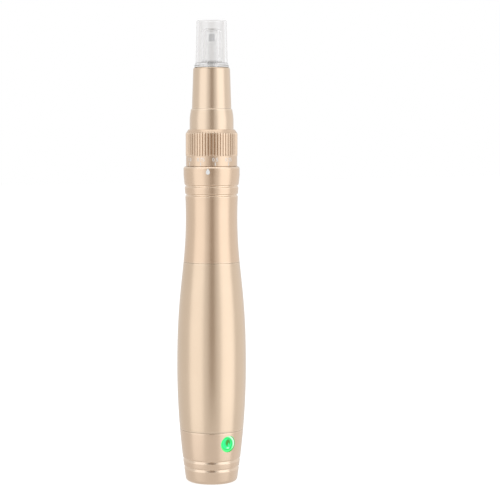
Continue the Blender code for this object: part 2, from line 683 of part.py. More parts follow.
def depth_ring():
    parent = group("depth_ring_body")
    flute_foot = RING_FOOT + RING_BAND
    crown = RING_TOP - RING_CHAMFER
    groove_low = RETAINER_FOOT - FIT
    groove_high = RETAINER_TOP + FIT
    groove_radius = RING_BORE + RETAINER_BITE + FIT
    outline = [
        (RING_RADIUS, RING_FOOT),
        (RING_RADIUS, flute_foot),
        (GRIP_RADIUS, flute_foot),
        (GRIP_RADIUS, crown),
        (RING_THREAD_BORE + RING_LIP, RING_TOP),
        (RING_THREAD_BORE, RING_TOP),
        (RING_THREAD_BORE, RING_COUNTERBORE_TOP),
        (RING_BORE, RING_COUNTERBORE_TOP),
        (RING_BORE, groove_high),
        (groove_radius, groove_high),
        (groove_radius, groove_low),
        (RING_BORE, groove_low),
        (RING_BORE, RING_FOOT),
    ]
    ring = turned("depth_ring", outline, ALUMINIUM, FLUTES, parent)
    shape = bmesh.new()
    height = RING_TOP - flute_foot
    middle = flute_foot + height / 2
    for index in range(FLUTES):
        made = bmesh.ops.create_cube(shape, size=1)["verts"]
        bmesh.ops.scale(shape, vec=(2 * FLUTE_DEPTH, FLUTE_WIDTH, height), verts=made)
        bmesh.ops.translate(shape, vec=(GRIP_RADIUS, 0, middle), verts=made)
        turn = Matrix.Rotation(FULL_TURN * (index + 0.5) / FLUTES, 3, "Z")
        bmesh.ops.rotate(shape, cent=(0, 0, 0), matrix=turn, verts=made)
    cut(ring, placed("flute_cutter", meshed("flute_cutter", shape), ALUMINIUM))


# Nose
SPIGOT_RADIUS = CONE_FOOT_RADIUS - CONE_WALL


def nose(parent):
    spigot_bore = SPIGOT_RADIUS + FIT
    top_radius = CONE_FOOT_RADIUS + SEAM
    ledge = SPIGOT_FOOT - SEAT
    base = [
        (KEY_SLEEVE_RADIUS, NOSE_FOOT),
        (KEY_SLEEVE_RADIUS, NOSE_SHOULDER),
        (NOSE_RADIUS, NOSE_SHOULDER),
        (NOSE_RADIUS, NOSE_TOP - NOSE_FLARE),
        (top_radius, NOSE_TOP),
        (spigot_bore, NOSE_TOP),
        (spigot_bore, ledge),
        (KEY_SLEEVE_BORE, ledge),
        (KEY_SLEEVE_BORE, NOSE_FOOT),
    ]
    nose_base = turned("nose_base", base, ALUMINIUM, FINE, parent)
    cone = [
        (SPIGOT_RADIUS, SPIGOT_FOOT),
        (SPIGOT_RADIUS, CONE_FOOT),
        (CONE_FOOT_RADIUS, CONE_FOOT),
    ]
    cone += quarter(CONE_TOP_RADIUS - CONE_ROUND, CONE_TOP - CONE_ROUND, CONE_ROUND, 0)
    cone += [
        (CONE_SOCKET, CONE_TOP),
        (CONE_SOCKET, THREAD_FOOT - SEAT),
        (CONE_BORE, THREAD_FOOT - SEAT),
        (CONE_BORE, SPIGOT_FOOT),
    ]
    turned("nose_cone", cone, ALUMINIUM, FINE, parent)
    inner = KEY_SLEEVE_BORE + FIT
    outer = NECK_RADIUS - RETAINER_BITE - FIT
    for side, name in ((1, "nose_key_pin_right"), (-1, "nose_key_pin_left")):
        start = (0, 0, KEY_PIN_HEIGHT)
        bore = KEY_PIN_RADIUS + FIT / 2
        hole = turned(name + "_hole", solid_outline(bore, 0, BELLY_RADIUS), STEEL, TINY)
        cut(nose_base, aimed(hole, (side, 0, 0), start))
        pin = turned(name, solid_outline(KEY_PIN_RADIUS, inner, outer), STEEL, TINY, parent)
        aimed(pin, (side, 0, 0), start)


# Needle cartridge
def threaded():
    """Outline of the cartridge's thread, from its foot up."""
    root = THREAD_RADIUS - THREAD_DEPTH
    pitch = THREAD_LENGTH / THREAD_RIDGES
    flank = (pitch - THREAD_CREST) / 3
    outline = []
    for index in range(THREAD_RIDGES):
        foot = THREAD_FOOT + pitch * index
        crest = foot + flank
        outline += [(root, foot), (THREAD_RADIUS, crest), (THREAD_RADIUS, crest + THREAD_CREST)]
        outline.append((root, crest + THREAD_CREST + flank))
    return outline


def cartridge(parent):
    socket = STEM_RADIUS + FIT
    foot_bore = TIP_FOOT_RADIUS - TIP_WALL
    rim_bore = TIP_RIM_RADIUS - TIP_WALL
    tip = [(socket, THREAD_FOOT)]
    tip += threaded()
    tip += [
        (THREAD_RADIUS - THREAD_DEPTH, FLANGE_FOOT),
        (FLANGE_RADIUS, FLANGE_FOOT),
        (FLANGE_RADIUS, BEAD_FOOT),
        (BEAD_RADIUS, BEAD_FOOT),
        (BEAD_RADIUS, FLANGE_TOP),
        (TIP_FOOT_RADIUS, FLANGE_TOP),
        (TIP_RIM_RADIUS, RIM - TIP_RIM_ROUND),
        (TIP_RIM_RADIUS - TIP_RIM_ROUND, RIM),
        (rim_bore, RIM),
        (foot_bore, TIP_FLOOR_TOP),
        (PLUNGER_HOLE, TIP_FLOOR_TOP),
        (PLUNGER_HOLE, FLANGE_FOOT),
        (socket, FLANGE_FOOT),
    ]
    turned("cartridge_tip", tip, CLEAR, MEDIUM, parent)

    sleeve_foot = TIP_FLOOR_TOP + SEAM
    sleeve_top = RIM - SLEEVE_DROP
    mouth = CARRIER_HEAD_RADIUS + 2 * RUN
    sleeve_bore = mouth + SLEEVE_STEP
    sleeve_radius = sleeve_bore + SLEEVE_WALL
    sleeve = [
        (sleeve_radius, sleeve_foot),
        (sleeve_radius, sleeve_top - SLEEVE_WALL),
        (sleeve_bore, sleeve_top),
        (mouth, sleeve_top),
        (mouth, sleeve_top - SLEEVE_LIP),
        (sleeve_bore, sleeve_top - SLEEVE_LIP - SLEEVE_STEP),
        (sleeve_bore, sleeve_foot),
    ]
    turned("cartridge_inner_sleeve", sleeve, CLEAR, SMALL, parent)

    stem = [
        (STEM_RADIUS, STEM_FOOT),
        (STEM_RADIUS, STEM_TOP),
        (STEM_BORE, STEM_TOP),
        (STEM_BORE, STEM_FOOT + STEM_LIP),
        (PLUNGER_HOLE, STEM_FOOT + STEM_LIP),
        (PLUNGER_HOLE, STEM_FOOT),
    ]
    turned("cartridge_stem", stem, CLEAR, SMALL, parent)

    seal = ring_outline(STEM_RADIUS, PLUNGER_HOLE, STEM_TOP + SEAM, FLANGE_FOOT - SEAM)
    turned("cartridge_seal", seal, RUBBER, SMALL, parent)


def tube(name, points, radius, material, parent=None):
    """One unbroken tube along a run of points, with its ends closed."""
    curve = bpy.data.curves.new(name, "CURVE")
    curve.dimensions = "3D"
    curve.bevel_depth = radius
    curve.bevel_resolution = 1
    curve.use_fill_caps = True
    spline = curve.splines.new("POLY")
    spline.points.add(len(points) - 1)
    for target, point in zip(spline.points, points):
        target.co = (*point, 1)
    return placed(name, curve, material, parent)


def least_gap(points, diameter, apart):
    """Smallest clear distance between stretches of a tube that lie more than a number of points apart."""
    spans = []
    for index, first in enumerate(points):
        spans += [(first - second).length for second in points[index + apart :]]
    return min(spans) - diameter


def cartridge_spring(parent):
    coil_radius = (PLUNGER_RADIUS + STEM_BORE) / 2
    foot = COLLAR_PIN_TOP + SEAT
    top = STEM_TOP + SEAM - SEAT
    coil_foot = foot + SPRING_WIRE
    coil_top = top - SPRING_WIRE
    steps = SPRING_CURLS * SPRING_POINTS
    points = [Vector((coil_radius, 0, foot))]
    for step in range(steps + 1):
        angle = FULL_TURN * step / SPRING_POINTS
        height = coil_foot + (coil_top - coil_foot) * step / steps
        points.append(Vector((coil_radius * math.cos(angle), coil_radius * math.sin(angle), height)))
    points.append(Vector((coil_radius, 0, top)))
    tube("cartridge_spring", points, SPRING_WIRE / 2, STEEL, parent)
    gap = least_gap(points, SPRING_WIRE, SPRING_POINTS // 2)
    print(f"cartridge_spring: least gap between curls {gap / MM:.2f} mm")


def needle_places():
    """Centres of the needles: one in the middle and the rest on a circle."""
    places = [Vector((0, 0, 0))]
    for index in range(NEEDLES - 1):
        angle = FULL_TURN * index / (NEEDLES - 1)
        places.append(Vector((NEEDLE_CIRCLE * math.cos(angle), NEEDLE_CIRCLE * math.sin(angle), 0)))
    return places


def needle_carriage(parent):
    spigot_top = CARRIER_FOOT + CARRIER_SOCKET - SEAT
    spigot_foot = CARRIER_FOOT - SEAT
    collar_radius = STEM_BORE - RUN
    plunger = [
        (0, PLUNGER_FOOT),
        (PLUNGER_BUTTON_RADIUS, PLUNGER_FOOT),
        (PLUNGER_BUTTON_RADIUS, PLUNGER_BUTTON_TOP),
        (PLUNGER_RADIUS, PLUNGER_BUTTON_TOP),
        (PLUNGER_RADIUS, COLLAR_PIN_FOOT),
        (collar_radius, COLLAR_PIN_FOOT),
        (collar_radius, COLLAR_PIN_TOP),
        (PLUNGER_RADIUS, COLLAR_PIN_TOP),
        (PLUNGER_RADIUS, spigot_foot),
        (SOCKET_RADIUS, spigot_foot),
        (SOCKET_RADIUS, spigot_top),
        (0, spigot_top),
    ]
    turned("plunger_rod", plunger, WHITE, TINY, parent)
    head_foot = CARRIER_TOP - CARRIER_HEAD_HEIGHT
    bore = SOCKET_RADIUS + FIT
    carrier = [
        (0, CARRIER_FOOT + CARRIER_SOCKET),
        (bore, CARRIER_FOOT + CARRIER_SOCKET),
        (bore, CARRIER_FOOT),
        (CARRIER_RADIUS, CARRIER_FOOT),
        (CARRIER_RADIUS, head_foot),
        (CARRIER_HEAD_RADIUS, head_foot),
        (CARRIER_HEAD_RADIUS, CARRIER_TOP),
        (0, CARRIER_TOP),
    ]
    body = turned("needle_carrier", carrier, WHITE, SMALL, parent)
    hole_radius = NEEDLE_RADIUS + NEEDLE_FIT
    hole_foot = CARRIER_TOP - NEEDLE_SUNK
    hole_top = CARRIER_TOP + PASS
    foot = hole_foot + NEEDLE_FIT
    outline = [
        (0, foot),
        (NEEDLE_RADIUS, foot),
        (NEEDLE_RADIUS, NEEDLE_TIPS - NEEDLE_POINT),
        (0, NEEDLE_TIPS),
    ]
    hole_outline = solid_outline(hole_radius, hole_foot, hole_top)
    for number, place in enumerate(needle_places(), 1):
        needle = turned(f"needle_{number:02d}", outline, STEEL, NEEDLE_SIDES, parent)
        needle.location += place
        hole = turned(f"needle_hole_{number:02d}", hole_outline, STEEL, NEEDLE_SIDES)
        hole.location += place
        cut(body, hole)


# Needle drive: rod, follower, cam and their housing
BUSH_RADIUS = ROD_RADIUS + RUN + BUSH_WALL
BUSH_BORE = ROD_RADIUS + RUN
WING_REACH = DRIVE_RADIUS - FIT


def drive_housing():
    tower_bore = BUSH_RADIUS + FIT
    outline = [
        (DRIVE_RADIUS, DRIVE_FOOT),
        (DRIVE_RADIUS, DRIVE_TOP),
        (TOWER_RADIUS, DRIVE_TOP),
        (TOWER_RADIUS, DRIVE_TOP + TOWER_HEIGHT),
        (tower_bore, DRIVE_TOP + TOWER_HEIGHT),
        (tower_bore, PLATE_FOOT),
        (DRIVE_BORE, PLATE_FOOT),
        (DRIVE_BORE, DRIVE_FOOT),
    ]
    housing = turned("drive_housing", outline, BLACK, MEDIUM)
    foot = FOLLOWER_FOOT - SEAT
    size = (2 * (DRIVE_RADIUS + PASS), WING_WIDTH + 2 * RUN, PLATE_FOOT - foot)
    cut(housing, block("wing_slots", size, (0, 0, (foot + PLATE_FOOT) / 2), BLACK))
    grub_height = (DRIVE_FOOT + MOTOR_TOP) / 2
    bore = GRUB_RADIUS + FIT
    hole = turned("grub_hole", solid_outline(bore, 0, BELLY_RADIUS), STEEL, TINY)
    cut(housing, aimed(hole, (0, 1, 0), (0, 0, grub_height)))
    grub = solid_outline(GRUB_RADIUS, MOTOR_RADIUS + FIT, DRIVE_RADIUS - FIT)
    aimed(turned("motor_grub_screw", grub, STEEL, TINY), (0, 1, 0), (0, 0, grub_height))

    bush = ring_outline(BUSH_RADIUS, BUSH_BORE, PLATE_FOOT + FIT, DRIVE_TOP + TOWER_HEIGHT - FIT)
    turned("rod_bush", bush, BRASS, SMALL)

    ring_top = DRIVE_FOOT - SEAT
    ring = ring_outline(DRIVE_RADIUS, MOTOR_RADIUS + FIT, ring_top - LOCK_RING_HEIGHT, ring_top)
    turned("drive_lock_ring", ring, BRASS, MEDIUM)


def drive_rod(parent):
    rod_foot = FOLLOWER_FOOT + FIT
    head_foot = ROD_FLOOR - ROD_HEAD_HEIGHT
    rod = [
        (0, rod_foot),
        (ROD_RADIUS, rod_foot),
        (ROD_RADIUS, head_foot),
        (ROD_HEAD_RADIUS, head_foot),
        (ROD_HEAD_RADIUS, ROD_FLOOR + ROD_CUP),
        (ROD_CUP_RADIUS, ROD_FLOOR + ROD_CUP),
        (ROD_CUP_RADIUS, ROD_FLOOR),
        (0, ROD_FLOOR),
    ]
    turned("drive_rod", rod, STEEL, SMALL, parent)
    outline = ring_outline(FOLLOWER_RADIUS, ROD_RADIUS + FIT, FOLLOWER_FOOT, FOLLOWER_TOP)
    follower = turned("follower_block", outline, BLACK, SMALL, parent)
    wing = WING_REACH - ROD_RADIUS - 2 * FIT
    size = (wing, WING_WIDTH, FOLLOWER_THICKNESS - FIT)
    for side, name in ((1, "right_wing"), (-1, "left_wing")):
        centre = (side * (WING_REACH - wing / 2), 0, (FOLLOWER_FOOT + FOLLOWER_TOP) / 2)
        join(follower, block(name, size, centre, BLACK))
    pin_top = FOLLOWER_TOP - FIT
    bore = solid_outline(FOLLOWER_PIN_RADIUS + FIT / 2, FOLLOWER_FOOT - PASS, FOLLOWER_TOP + PASS)
    hole = turned("follower_hole", bore, STEEL, TINY)
    hole.location.y = FOLLOWER_PIN_CIRCLE
    cut(follower, hole)
    centre = FOLLOWER_POINT + FOLLOWER_PIN_RADIUS
    pin = quarter(0, centre, FOLLOWER_PIN_RADIUS, -90)
    pin[0] = (0, FOLLOWER_POINT)
    pin += [(FOLLOWER_PIN_RADIUS, pin_top), (0, pin_top)]
    turned("follower_pin", pin, STEEL, TINY, parent).location.y = FOLLOWER_PIN_CIRCLE


SHAFT_BORE = SHAFT_RADIUS + RUN
SHAFT_FOOT = MOTOR_FOOT + MOTOR_CAP_PLUG / 2


def rotor(parent):
    shaft_top = CAM_MIDDLE - 2 * SHAFT_RADIUS * math.tan(CAM_SLOPE)
    turned("motor_shaft", solid_outline(SHAFT_RADIUS, SHAFT_FOOT, shaft_top), STEEL, TINY, parent)
    bore = SHAFT_RADIUS + FIT / 2
    top = CAM_MIDDLE + CAM_RADIUS * math.tan(CAM_SLOPE) + PASS
    cam = turned("face_cam", ring_outline(CAM_RADIUS, bore, CAM_FOOT, top), BRASS, MEDIUM, parent)
    reach = 2 * (CAM_RADIUS + top - CAM_FOOT)
    slope = block("cam_slope", (reach, reach, reach), (0, 0, 0), BRASS)
    tilt = Matrix.Rotation(-CAM_SLOPE, 4, "X")
    slope.matrix_world = Matrix.Translation((0, 0, CAM_MIDDLE)) @ tilt @ Matrix.Translation((0, 0, reach / 2))
    cut(cam, slope)
    coil_radius = MOTOR_RADIUS - MOTOR_CAN_WALL - MOTOR_GAP
    coil_foot = MOTOR_FOOT + MOTOR_CAP_PLUG + MOTOR_GAP
    coil_top = MOTOR_TOP - MOTOR_CAN_WALL - MOTOR_GAP
    coil = ring_outline(coil_radius, bore, coil_foot, coil_top)
    turned("motor_armature", coil, COPPER, SMALL, parent)


def motor():
    inner = MOTOR_RADIUS - MOTOR_CAN_WALL
    can = [
        (MOTOR_RADIUS, MOTOR_FOOT),
        (MOTOR_RADIUS, MOTOR_TOP),
        (SHAFT_BORE, MOTOR_TOP),
        (SHAFT_BORE, MOTOR_TOP - MOTOR_CAN_WALL),
        (inner, MOTOR_TOP - MOTOR_CAN_WALL),
        (inner, MOTOR_FOOT),
    ]
    turned("motor_can", can, STEEL, MEDIUM)
    plug = inner - FIT
    socket_foot = SHAFT_FOOT - SEAT
    cap = [
        (0, MOTOR_FOOT - MOTOR_CAP_HEIGHT),
        (MOTOR_RADIUS, MOTOR_FOOT - MOTOR_CAP_HEIGHT),
        (MOTOR_RADIUS, MOTOR_FOOT - FIT),
        (plug, MOTOR_FOOT - FIT),
        (plug, MOTOR_FOOT + MOTOR_CAP_PLUG),
        (SHAFT_BORE, MOTOR_FOOT + MOTOR_CAP_PLUG),
        (SHAFT_BORE, socket_foot),
        (0, socket_foot),
    ]
    turned("motor_end_cap", cap, BLACK, MEDIUM)


# Cell, holders and tabs
HOLDER_RADIUS = MAIN_BORE - FIT
HOLDER_BORE = HOLDER_RADIUS - HOLDER_WALL
CELL_RADIUS = HOLDER_BORE - FIT
LEAD_CHANNEL = (CELL_RADIUS + MAIN_BORE) / 2
NOTCH_FLOOR = CELL_RADIUS - NOTCH_BITE
TAB_REACH = CELL_RADIUS - TAB_EDGE


def notches(target, low, high):
    """Openings in a holder for the leads that run past the cell."""
    depth = MAIN_BORE + PASS - NOTCH_FLOOR
    for angle in (MOTOR_RED_ANGLE, CELL_RED_ANGLE, CELL_BLACK_ANGLE, MOTOR_BLACK_ANGLE):
        slot = block(f"{target.name}_notch_{angle}", (depth, LEAD_NOTCH, high - low), (0, 0, 0), WHITE)
        turn = Matrix.Rotation(math.radians(angle), 4, "Z")
        slot.matrix_world = turn @ Matrix.Translation((NOTCH_FLOOR + depth / 2, 0, (low + high) / 2))
        cut(target, slot)


def cell():
    outline = [
        (0, CELL_FOOT),
        (CELL_RADIUS, CELL_FOOT),
        (CELL_RADIUS, CELL_TOP),
        (CELL_NUB_RADIUS, CELL_TOP),
        (CELL_NUB_RADIUS, CELL_NUB_TOP),
        (0, CELL_NUB_TOP),
    ]
    turned("battery_cell", outline, WRAP, MEDIUM)
    for name, height, angle in (
        ("cell_tab_positive", CELL_NUB_TOP + FIT + TAB_THICKNESS / 2, CELL_RED_ANGLE),
        ("cell_tab_negative", CELL_FOOT - FIT - TAB_THICKNESS / 2, CELL_BLACK_ANGLE),
    ):
        tab = block(name, (2 * TAB_REACH, TAB_WIDTH, TAB_THICKNESS), (0, 0, height), STEEL)
        tab.rotation_euler.z = math.radians(angle)


def cell_cap():
    floor = HOLDER_TOP - HOLDER_FLOOR
    foot = HOLDER_TOP - HOLDER_HEIGHT
    outline = [
        (HOLDER_RADIUS, foot),
        (HOLDER_RADIUS, HOLDER_TOP),
        (CELL_NUB_RADIUS, HOLDER_TOP),
        (CELL_NUB_RADIUS, floor),
        (HOLDER_BORE, floor),
        (HOLDER_BORE, foot),
    ]
    cap = turned("cell_cap", outline, WHITE, MEDIUM)
    notches(cap, foot - PASS, HOLDER_TOP + PASS)


def cell_chassis():
    top = CHASSIS_TOP + HOLDER_HEIGHT - HOLDER_FLOOR
    outline = [
        (0, CHASSIS_TOP),
        (HOLDER_BORE, CHASSIS_TOP),
        (HOLDER_BORE, top),
        (HOLDER_RADIUS, top),
        (HOLDER_RADIUS, CHASSIS_FOOT),
        (0, CHASSIS_FOOT),
    ]
    chassis = turned("cell_chassis", outline, WHITE, MEDIUM)
    rail_height = BOARD_HEIGHT + HOLDER_FLOOR / 2
    rail_middle = CHASSIS_FOOT + HOLDER_FLOOR / 2 - rail_height / 2
    rail_depth = BOARD_THICKNESS + 2 * BOARD_LIP
    board_middle = -BOARD_FRONT + BOARD_THICKNESS / 2
    for side, name in ((1, "right_rail"), (-1, "left_rail")):
        centre = (side * BOARD_WIDTH / 2, board_middle, rail_middle)
        join(chassis, block(name, (BOARD_RAIL, rail_depth, rail_height), centre, WHITE))
    size = (BOARD_WIDTH + 2 * FIT, BOARD_THICKNESS + 2 * FIT, BOARD_HEIGHT + PASS)
    centre = (0, board_middle, BOARD_TOP - BOARD_HEIGHT / 2 - PASS / 2)
    cut(chassis, block("board_slot", size, centre, WHITE))
    notches(chassis, CHASSIS_FOOT - PASS, top + PASS)


# Control board and what it carries
def control_board():
    middle = -BOARD_FRONT + BOARD_THICKNESS / 2
    height = BOARD_HEIGHT - 2 * FIT
    size = (BOARD_WIDTH, BOARD_THICKNESS, height)
    block("control_board", size, (0, middle, BOARD_TOP - BOARD_HEIGHT / 2 - FIT), LAMINATE)
    front = -BOARD_FRONT - FIT
    switch_middle = front - SWITCH_HEIGHT / 2
    block("tact_switch", (SWITCH_SIDE, SWITCH_HEIGHT, SWITCH_SIDE), (0, switch_middle, BUTTON_HEIGHT), BLACK)
    led_place = (SWITCH_SIDE / 2 + LED_SIDE, front - LED_HEIGHT / 2, BUTTON_HEIGHT)
    block("status_led", (LED_SIDE, LED_HEIGHT, LED_SIDE), led_place, CLEAR)
    back = -BOARD_FRONT + BOARD_THICKNESS + FIT
    chip_place = (0, back + CHIP_HEIGHT / 2, SOLDER_HEIGHT - CHIP_GAP - CHIP_SIDE / 2)
    block("motor_driver_chip", (CHIP_SIDE, CHIP_HEIGHT, CHIP_SIDE), chip_place, BLACK)


# Power button
def power_button(parent):
    outline = [
        (0, BUTTON_STEM_FOOT),
        (BUTTON_STEM_RADIUS, BUTTON_STEM_FOOT),
        (BUTTON_STEM_RADIUS, BUTTON_FLANGE_FOOT),
        (BUTTON_FLANGE_RADIUS, BUTTON_FLANGE_FOOT),
        (BUTTON_FLANGE_RADIUS, BUTTON_FLANGE_TOP),
        (BUTTON_RADIUS, BUTTON_FLANGE_TOP),
    ]
    crown = BUTTON_FACE + BUTTON_PROUD
    bend = (BUTTON_RADIUS**2 + BUTTON_DOME**2) / (2 * BUTTON_DOME)
    span = math.asin(BUTTON_RADIUS / bend)
    for step in range(DOME_STEPS + 1):
        angle = span * (1 - step / DOME_STEPS)
        outline.append((bend * math.sin(angle), crown - bend * (1 - math.cos(angle))))
    cap = turned("button_cap", outline, LIT, MEDIUM, parent)
    aimed(cap, (0, -1, 0), (0, 0, BUTTON_HEIGHT))
    stem = solid_outline(SWITCH_PLUNGER_RADIUS, SWITCH_PLUNGER_FOOT, SWITCH_PLUNGER_TOP)
    plunger = turned("switch_plunger", stem, WHITE, TINY, parent)
    aimed(plunger, (0, -1, 0), (0, 0, BUTTON_HEIGHT))


# Charging inlet
def charge_jack():
    body_radius = JACK_RADIUS + JACK_BODY_WALL
    back = JACK_TOP - JACK_BACK
    pin_hole = JACK_PIN_RADIUS + FIT
    outline = [
        (JACK_RADIUS, JACK_RECESS),
        (JACK_RADIUS, JACK_FLANGE_FOOT),
        (body_radius, JACK_FLANGE_FOOT),
        (body_radius, JACK_TOP),
        (pin_hole, JACK_TOP),
        (pin_hole, back),
        (JACK_BORE, back),
        (JACK_BORE, JACK_RECESS),
    ]
    turned("charge_jack", outline, BLACK, MEDIUM)
    pin = solid_outline(JACK_PIN_RADIUS, JACK_RECESS + JACK_PIN_RECESS, JACK_TOP)
    turned("charge_jack_pin", pin, BRASS, TINY)


# Leads
def smooth_route(stops):
    """Evenly spread points of a smooth curve through the stops of a route."""
    ends = [2 * stops[0] - stops[1]] + stops + [2 * stops[-1] - stops[-2]]
    points = []
    for before, start, end, after in zip(ends, ends[1:], ends[2:], ends[3:]):
        steps = max(2, round((end - start).length / LEAD_STEP))
        for step in range(steps):
            t = step / steps
            curve = 2 * start + (end - before) * t
            curve += (2 * before - 5 * start + 4 * end - after) * t**2
            curve += (3 * start - before - 3 * end + after) * t**3
            points.append(curve / 2)
    return points + [stops[-1]]


def around(angle, radius, height):
    turn = math.radians(angle)
    return Vector((radius * math.cos(turn), radius * math.sin(turn), height))


def leads():
    cap_foot = MOTOR_FOOT - MOTOR_CAP_HEIGHT - FIT
    entry = NOTCH_FLOOR + 2 * LEAD_RADIUS
    back = -BOARD_FRONT + BOARD_THICKNESS + LEAD_RADIUS + FIT
    over_cell = CELL_TOP + LEAD_RADIUS + FIT
    past_cell = CELL_TOP - LEAD_STEP
    before_chassis = CHASSIS_TOP + LEAD_STEP + LEAD_NOTCH
    terminal = MOTOR_RADIUS / 2
    mouth = (MOUTH_BORE - LEAD_RADIUS - FIT, MOUTH_FOOT)
    motor_start = [(terminal, cap_foot), (terminal, cap_foot - LEAD_STEP), mouth, (LEAD_CHANNEL, CELL_TOP)]
    cell_start = [(TAB_REACH + FIT, over_cell), (entry, over_cell), (LEAD_CHANNEL, CELL_TOP)]
    channel = [(LEAD_CHANNEL, past_cell), (LEAD_CHANNEL, before_chassis)]
    spigot_mouth = (TAIL_SPIGOT_BORE - LEAD_RADIUS - FIT, TAIL_SPIGOT_TOP)
    tail = [(LEAD_CHANNEL, CELL_FOOT), spigot_mouth, (entry - LEAD_NOTCH / 2, LEAD_ENTRY)]
    tab_start = [(entry, CHASSIS_TOP - FIT)]
    for name, material, angle, stops in (
        ("motor_lead_red", RED, MOTOR_RED_ANGLE, motor_start + channel + tail),
        ("motor_lead_black", DARK, MOTOR_BLACK_ANGLE, motor_start + channel + tail),
        ("cell_lead_red", RED, CELL_RED_ANGLE, cell_start + channel + tail),
        ("cell_lead_black", DARK, CELL_BLACK_ANGLE, tab_start + tail[2:]),
    ):
        route = [around(angle, radius, height) for radius, height in stops]
        route.append(Vector((route[-1].x * SOLDER_SPREAD, back, SOLDER_HEIGHT)))
        tube(name, smooth_route(route), LEAD_RADIUS, material)


tail_housing()
main_barrel()
front_barrel()
ring_retainer()
ring_drag_o_ring()
depth_ring()
NOSE_BODY = group("nose_body")
nose(NOSE_BODY)
CARTRIDGE_BODY = group("cartridge_body")
cartridge(CARTRIDGE_BODY)
cartridge_spring(CARTRIDGE_BODY)
needle_carriage(group("needle_carriage_body"))
drive_housing()
drive_rod(group("drive_rod_body"))
rotor(group("rotor_body"))
motor()
cell()
cell_cap()
cell_chassis()
control_board()
power_button(group("power_button_body"))
charge_jack()
leads()
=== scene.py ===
"""Looks of a microneedling pen: satin gold shells, clear needle cartridge, printed scale, lit button."""

import json
import math

import bmesh
import bpy
from mathutils import Matrix, Vector


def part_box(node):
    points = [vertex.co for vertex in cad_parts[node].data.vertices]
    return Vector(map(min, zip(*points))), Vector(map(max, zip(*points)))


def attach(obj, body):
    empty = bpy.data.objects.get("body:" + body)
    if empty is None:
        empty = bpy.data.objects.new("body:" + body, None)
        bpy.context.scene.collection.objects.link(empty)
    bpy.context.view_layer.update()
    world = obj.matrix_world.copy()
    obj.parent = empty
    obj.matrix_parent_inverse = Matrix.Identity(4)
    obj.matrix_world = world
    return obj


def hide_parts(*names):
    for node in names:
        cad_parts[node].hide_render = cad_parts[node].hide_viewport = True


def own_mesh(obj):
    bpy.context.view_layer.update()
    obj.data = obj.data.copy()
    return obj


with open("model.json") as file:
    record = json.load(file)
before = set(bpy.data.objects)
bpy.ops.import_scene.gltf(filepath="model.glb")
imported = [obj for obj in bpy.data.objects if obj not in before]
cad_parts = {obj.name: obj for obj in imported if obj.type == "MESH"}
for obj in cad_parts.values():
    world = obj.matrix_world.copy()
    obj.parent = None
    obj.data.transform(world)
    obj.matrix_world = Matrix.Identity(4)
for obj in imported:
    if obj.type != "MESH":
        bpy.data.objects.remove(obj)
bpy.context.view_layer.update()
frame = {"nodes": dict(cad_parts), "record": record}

MM = 0.001
FULL_TURN = 2 * math.pi
QUARTER_TURN = math.radians(90)
WHITE = (1, 1, 1)
BLACK = (0, 0, 0)
# Grey of the painted shade on the edges of clear plastic.
EDGE_SHADE = (0.3, 0.29, 0.28)
NODES = frame["nodes"]


def low(node):
    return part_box(node)[0].z


def high(node):
    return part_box(node)[1].z


def reach(node):
    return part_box(node)[1].x


# Clearances that the pieces share
SEAM = 0.05 * MM
RING_GAP = 0.12 * MM
FLANGE_GAP = 0.05 * MM
NOSE_GAP = 0.02 * MM
FIT = 0.15 * MM
RUN = 0.2 * MM
SEAT = 0.3 * MM
PASS = 1.0 * MM

# Fineness of the turned meshes
SHELL_SIDES = 192
CUP_SIDES = 128
SMALL_SIDES = 72
PIN_SIDES = 40
ROW = 0.8 * MM
FINE_ROW = 0.1 * MM
RING_ROW = 0.3 * MM
ROUND_STEPS = 4
SMOOTH_ANGLE = math.radians(40)
ROUNDED_EDGE_LIMIT = 0.35 * MM
WELD = 0.0005 * MM
AXIS = 0.001 * MM

# Heights of the seams, the grip's two as the photograph shows them and the rest from the frame
MAIN_FOOT = low("main_barrel") + 0.62 * MM
MAIN_TOP = high("main_barrel") + 0.88 * MM
TAIL_TOP = MAIN_FOOT - SEAM
FRONT_FOOT = MAIN_TOP + SEAM
RING_FOOT = low("depth_ring")
RING_TOP = high("depth_ring")
FRONT_TOP = RING_FOOT - RING_GAP
NECK_TOP = high("front_barrel")
NOSE_TOP = high("nose_base")
CONE_FOOT = NOSE_TOP + NOSE_GAP
CONE_TOP = high("nose_cone")
FLANGE_FOOT = CONE_TOP + FLANGE_GAP
THREAD_FOOT = low("cartridge_tip")
RIM = high("cartridge_tip")

# Outline of the grip
FOOT_RADIUS = 9.3 * MM
FOOT_ROUND = 1.0 * MM
BELLY_RADIUS = 12.34 * MM
BELLY_HEIGHT = low("main_barrel") + 23.2 * MM
BELLY_FULLNESS = 29.0 * MM
WAIST_RADIUS = 9.18 * MM
WAIST_HEIGHT = FRONT_TOP - 17.64 * MM
WAIST_FULLNESS = 19.5 * MM
COLLAR_RADIUS = 9.97 * MM
COLLAR_FOOT = FRONT_TOP - 3.04 * MM
COLLAR_CHAMFER = 0.55 * MM
GROOVE_WIDTH = 0.9 * MM
GROOVE_DEPTH = 0.35 * MM
GROOVE_LIP = 0.14 * MM
COLLAR_GROOVE_RUN = 0.36 * MM
TAIL_GROOVE_RUN = 0.54 * MM
COLLAR_GROOVES = (FRONT_TOP - 10.14 * MM, FRONT_TOP - 6.94 * MM)
TAIL_GROOVES = (5.15 * MM, 8.1 * MM)
SEAM_EDGE = 0.07 * MM
GROOVE_EDGE = 0.09 * MM

# Roundings of the smaller pieces
LIP_EDGE = 0.05 * MM
FINE_EDGE = 0.1 * MM
RING_EDGE = 0.12 * MM
SOFT_EDGE = 0.15 * MM
ROUND_EDGE = 0.2 * MM
FULL_EDGE = 0.25 * MM
BROAD_EDGE = 0.3 * MM

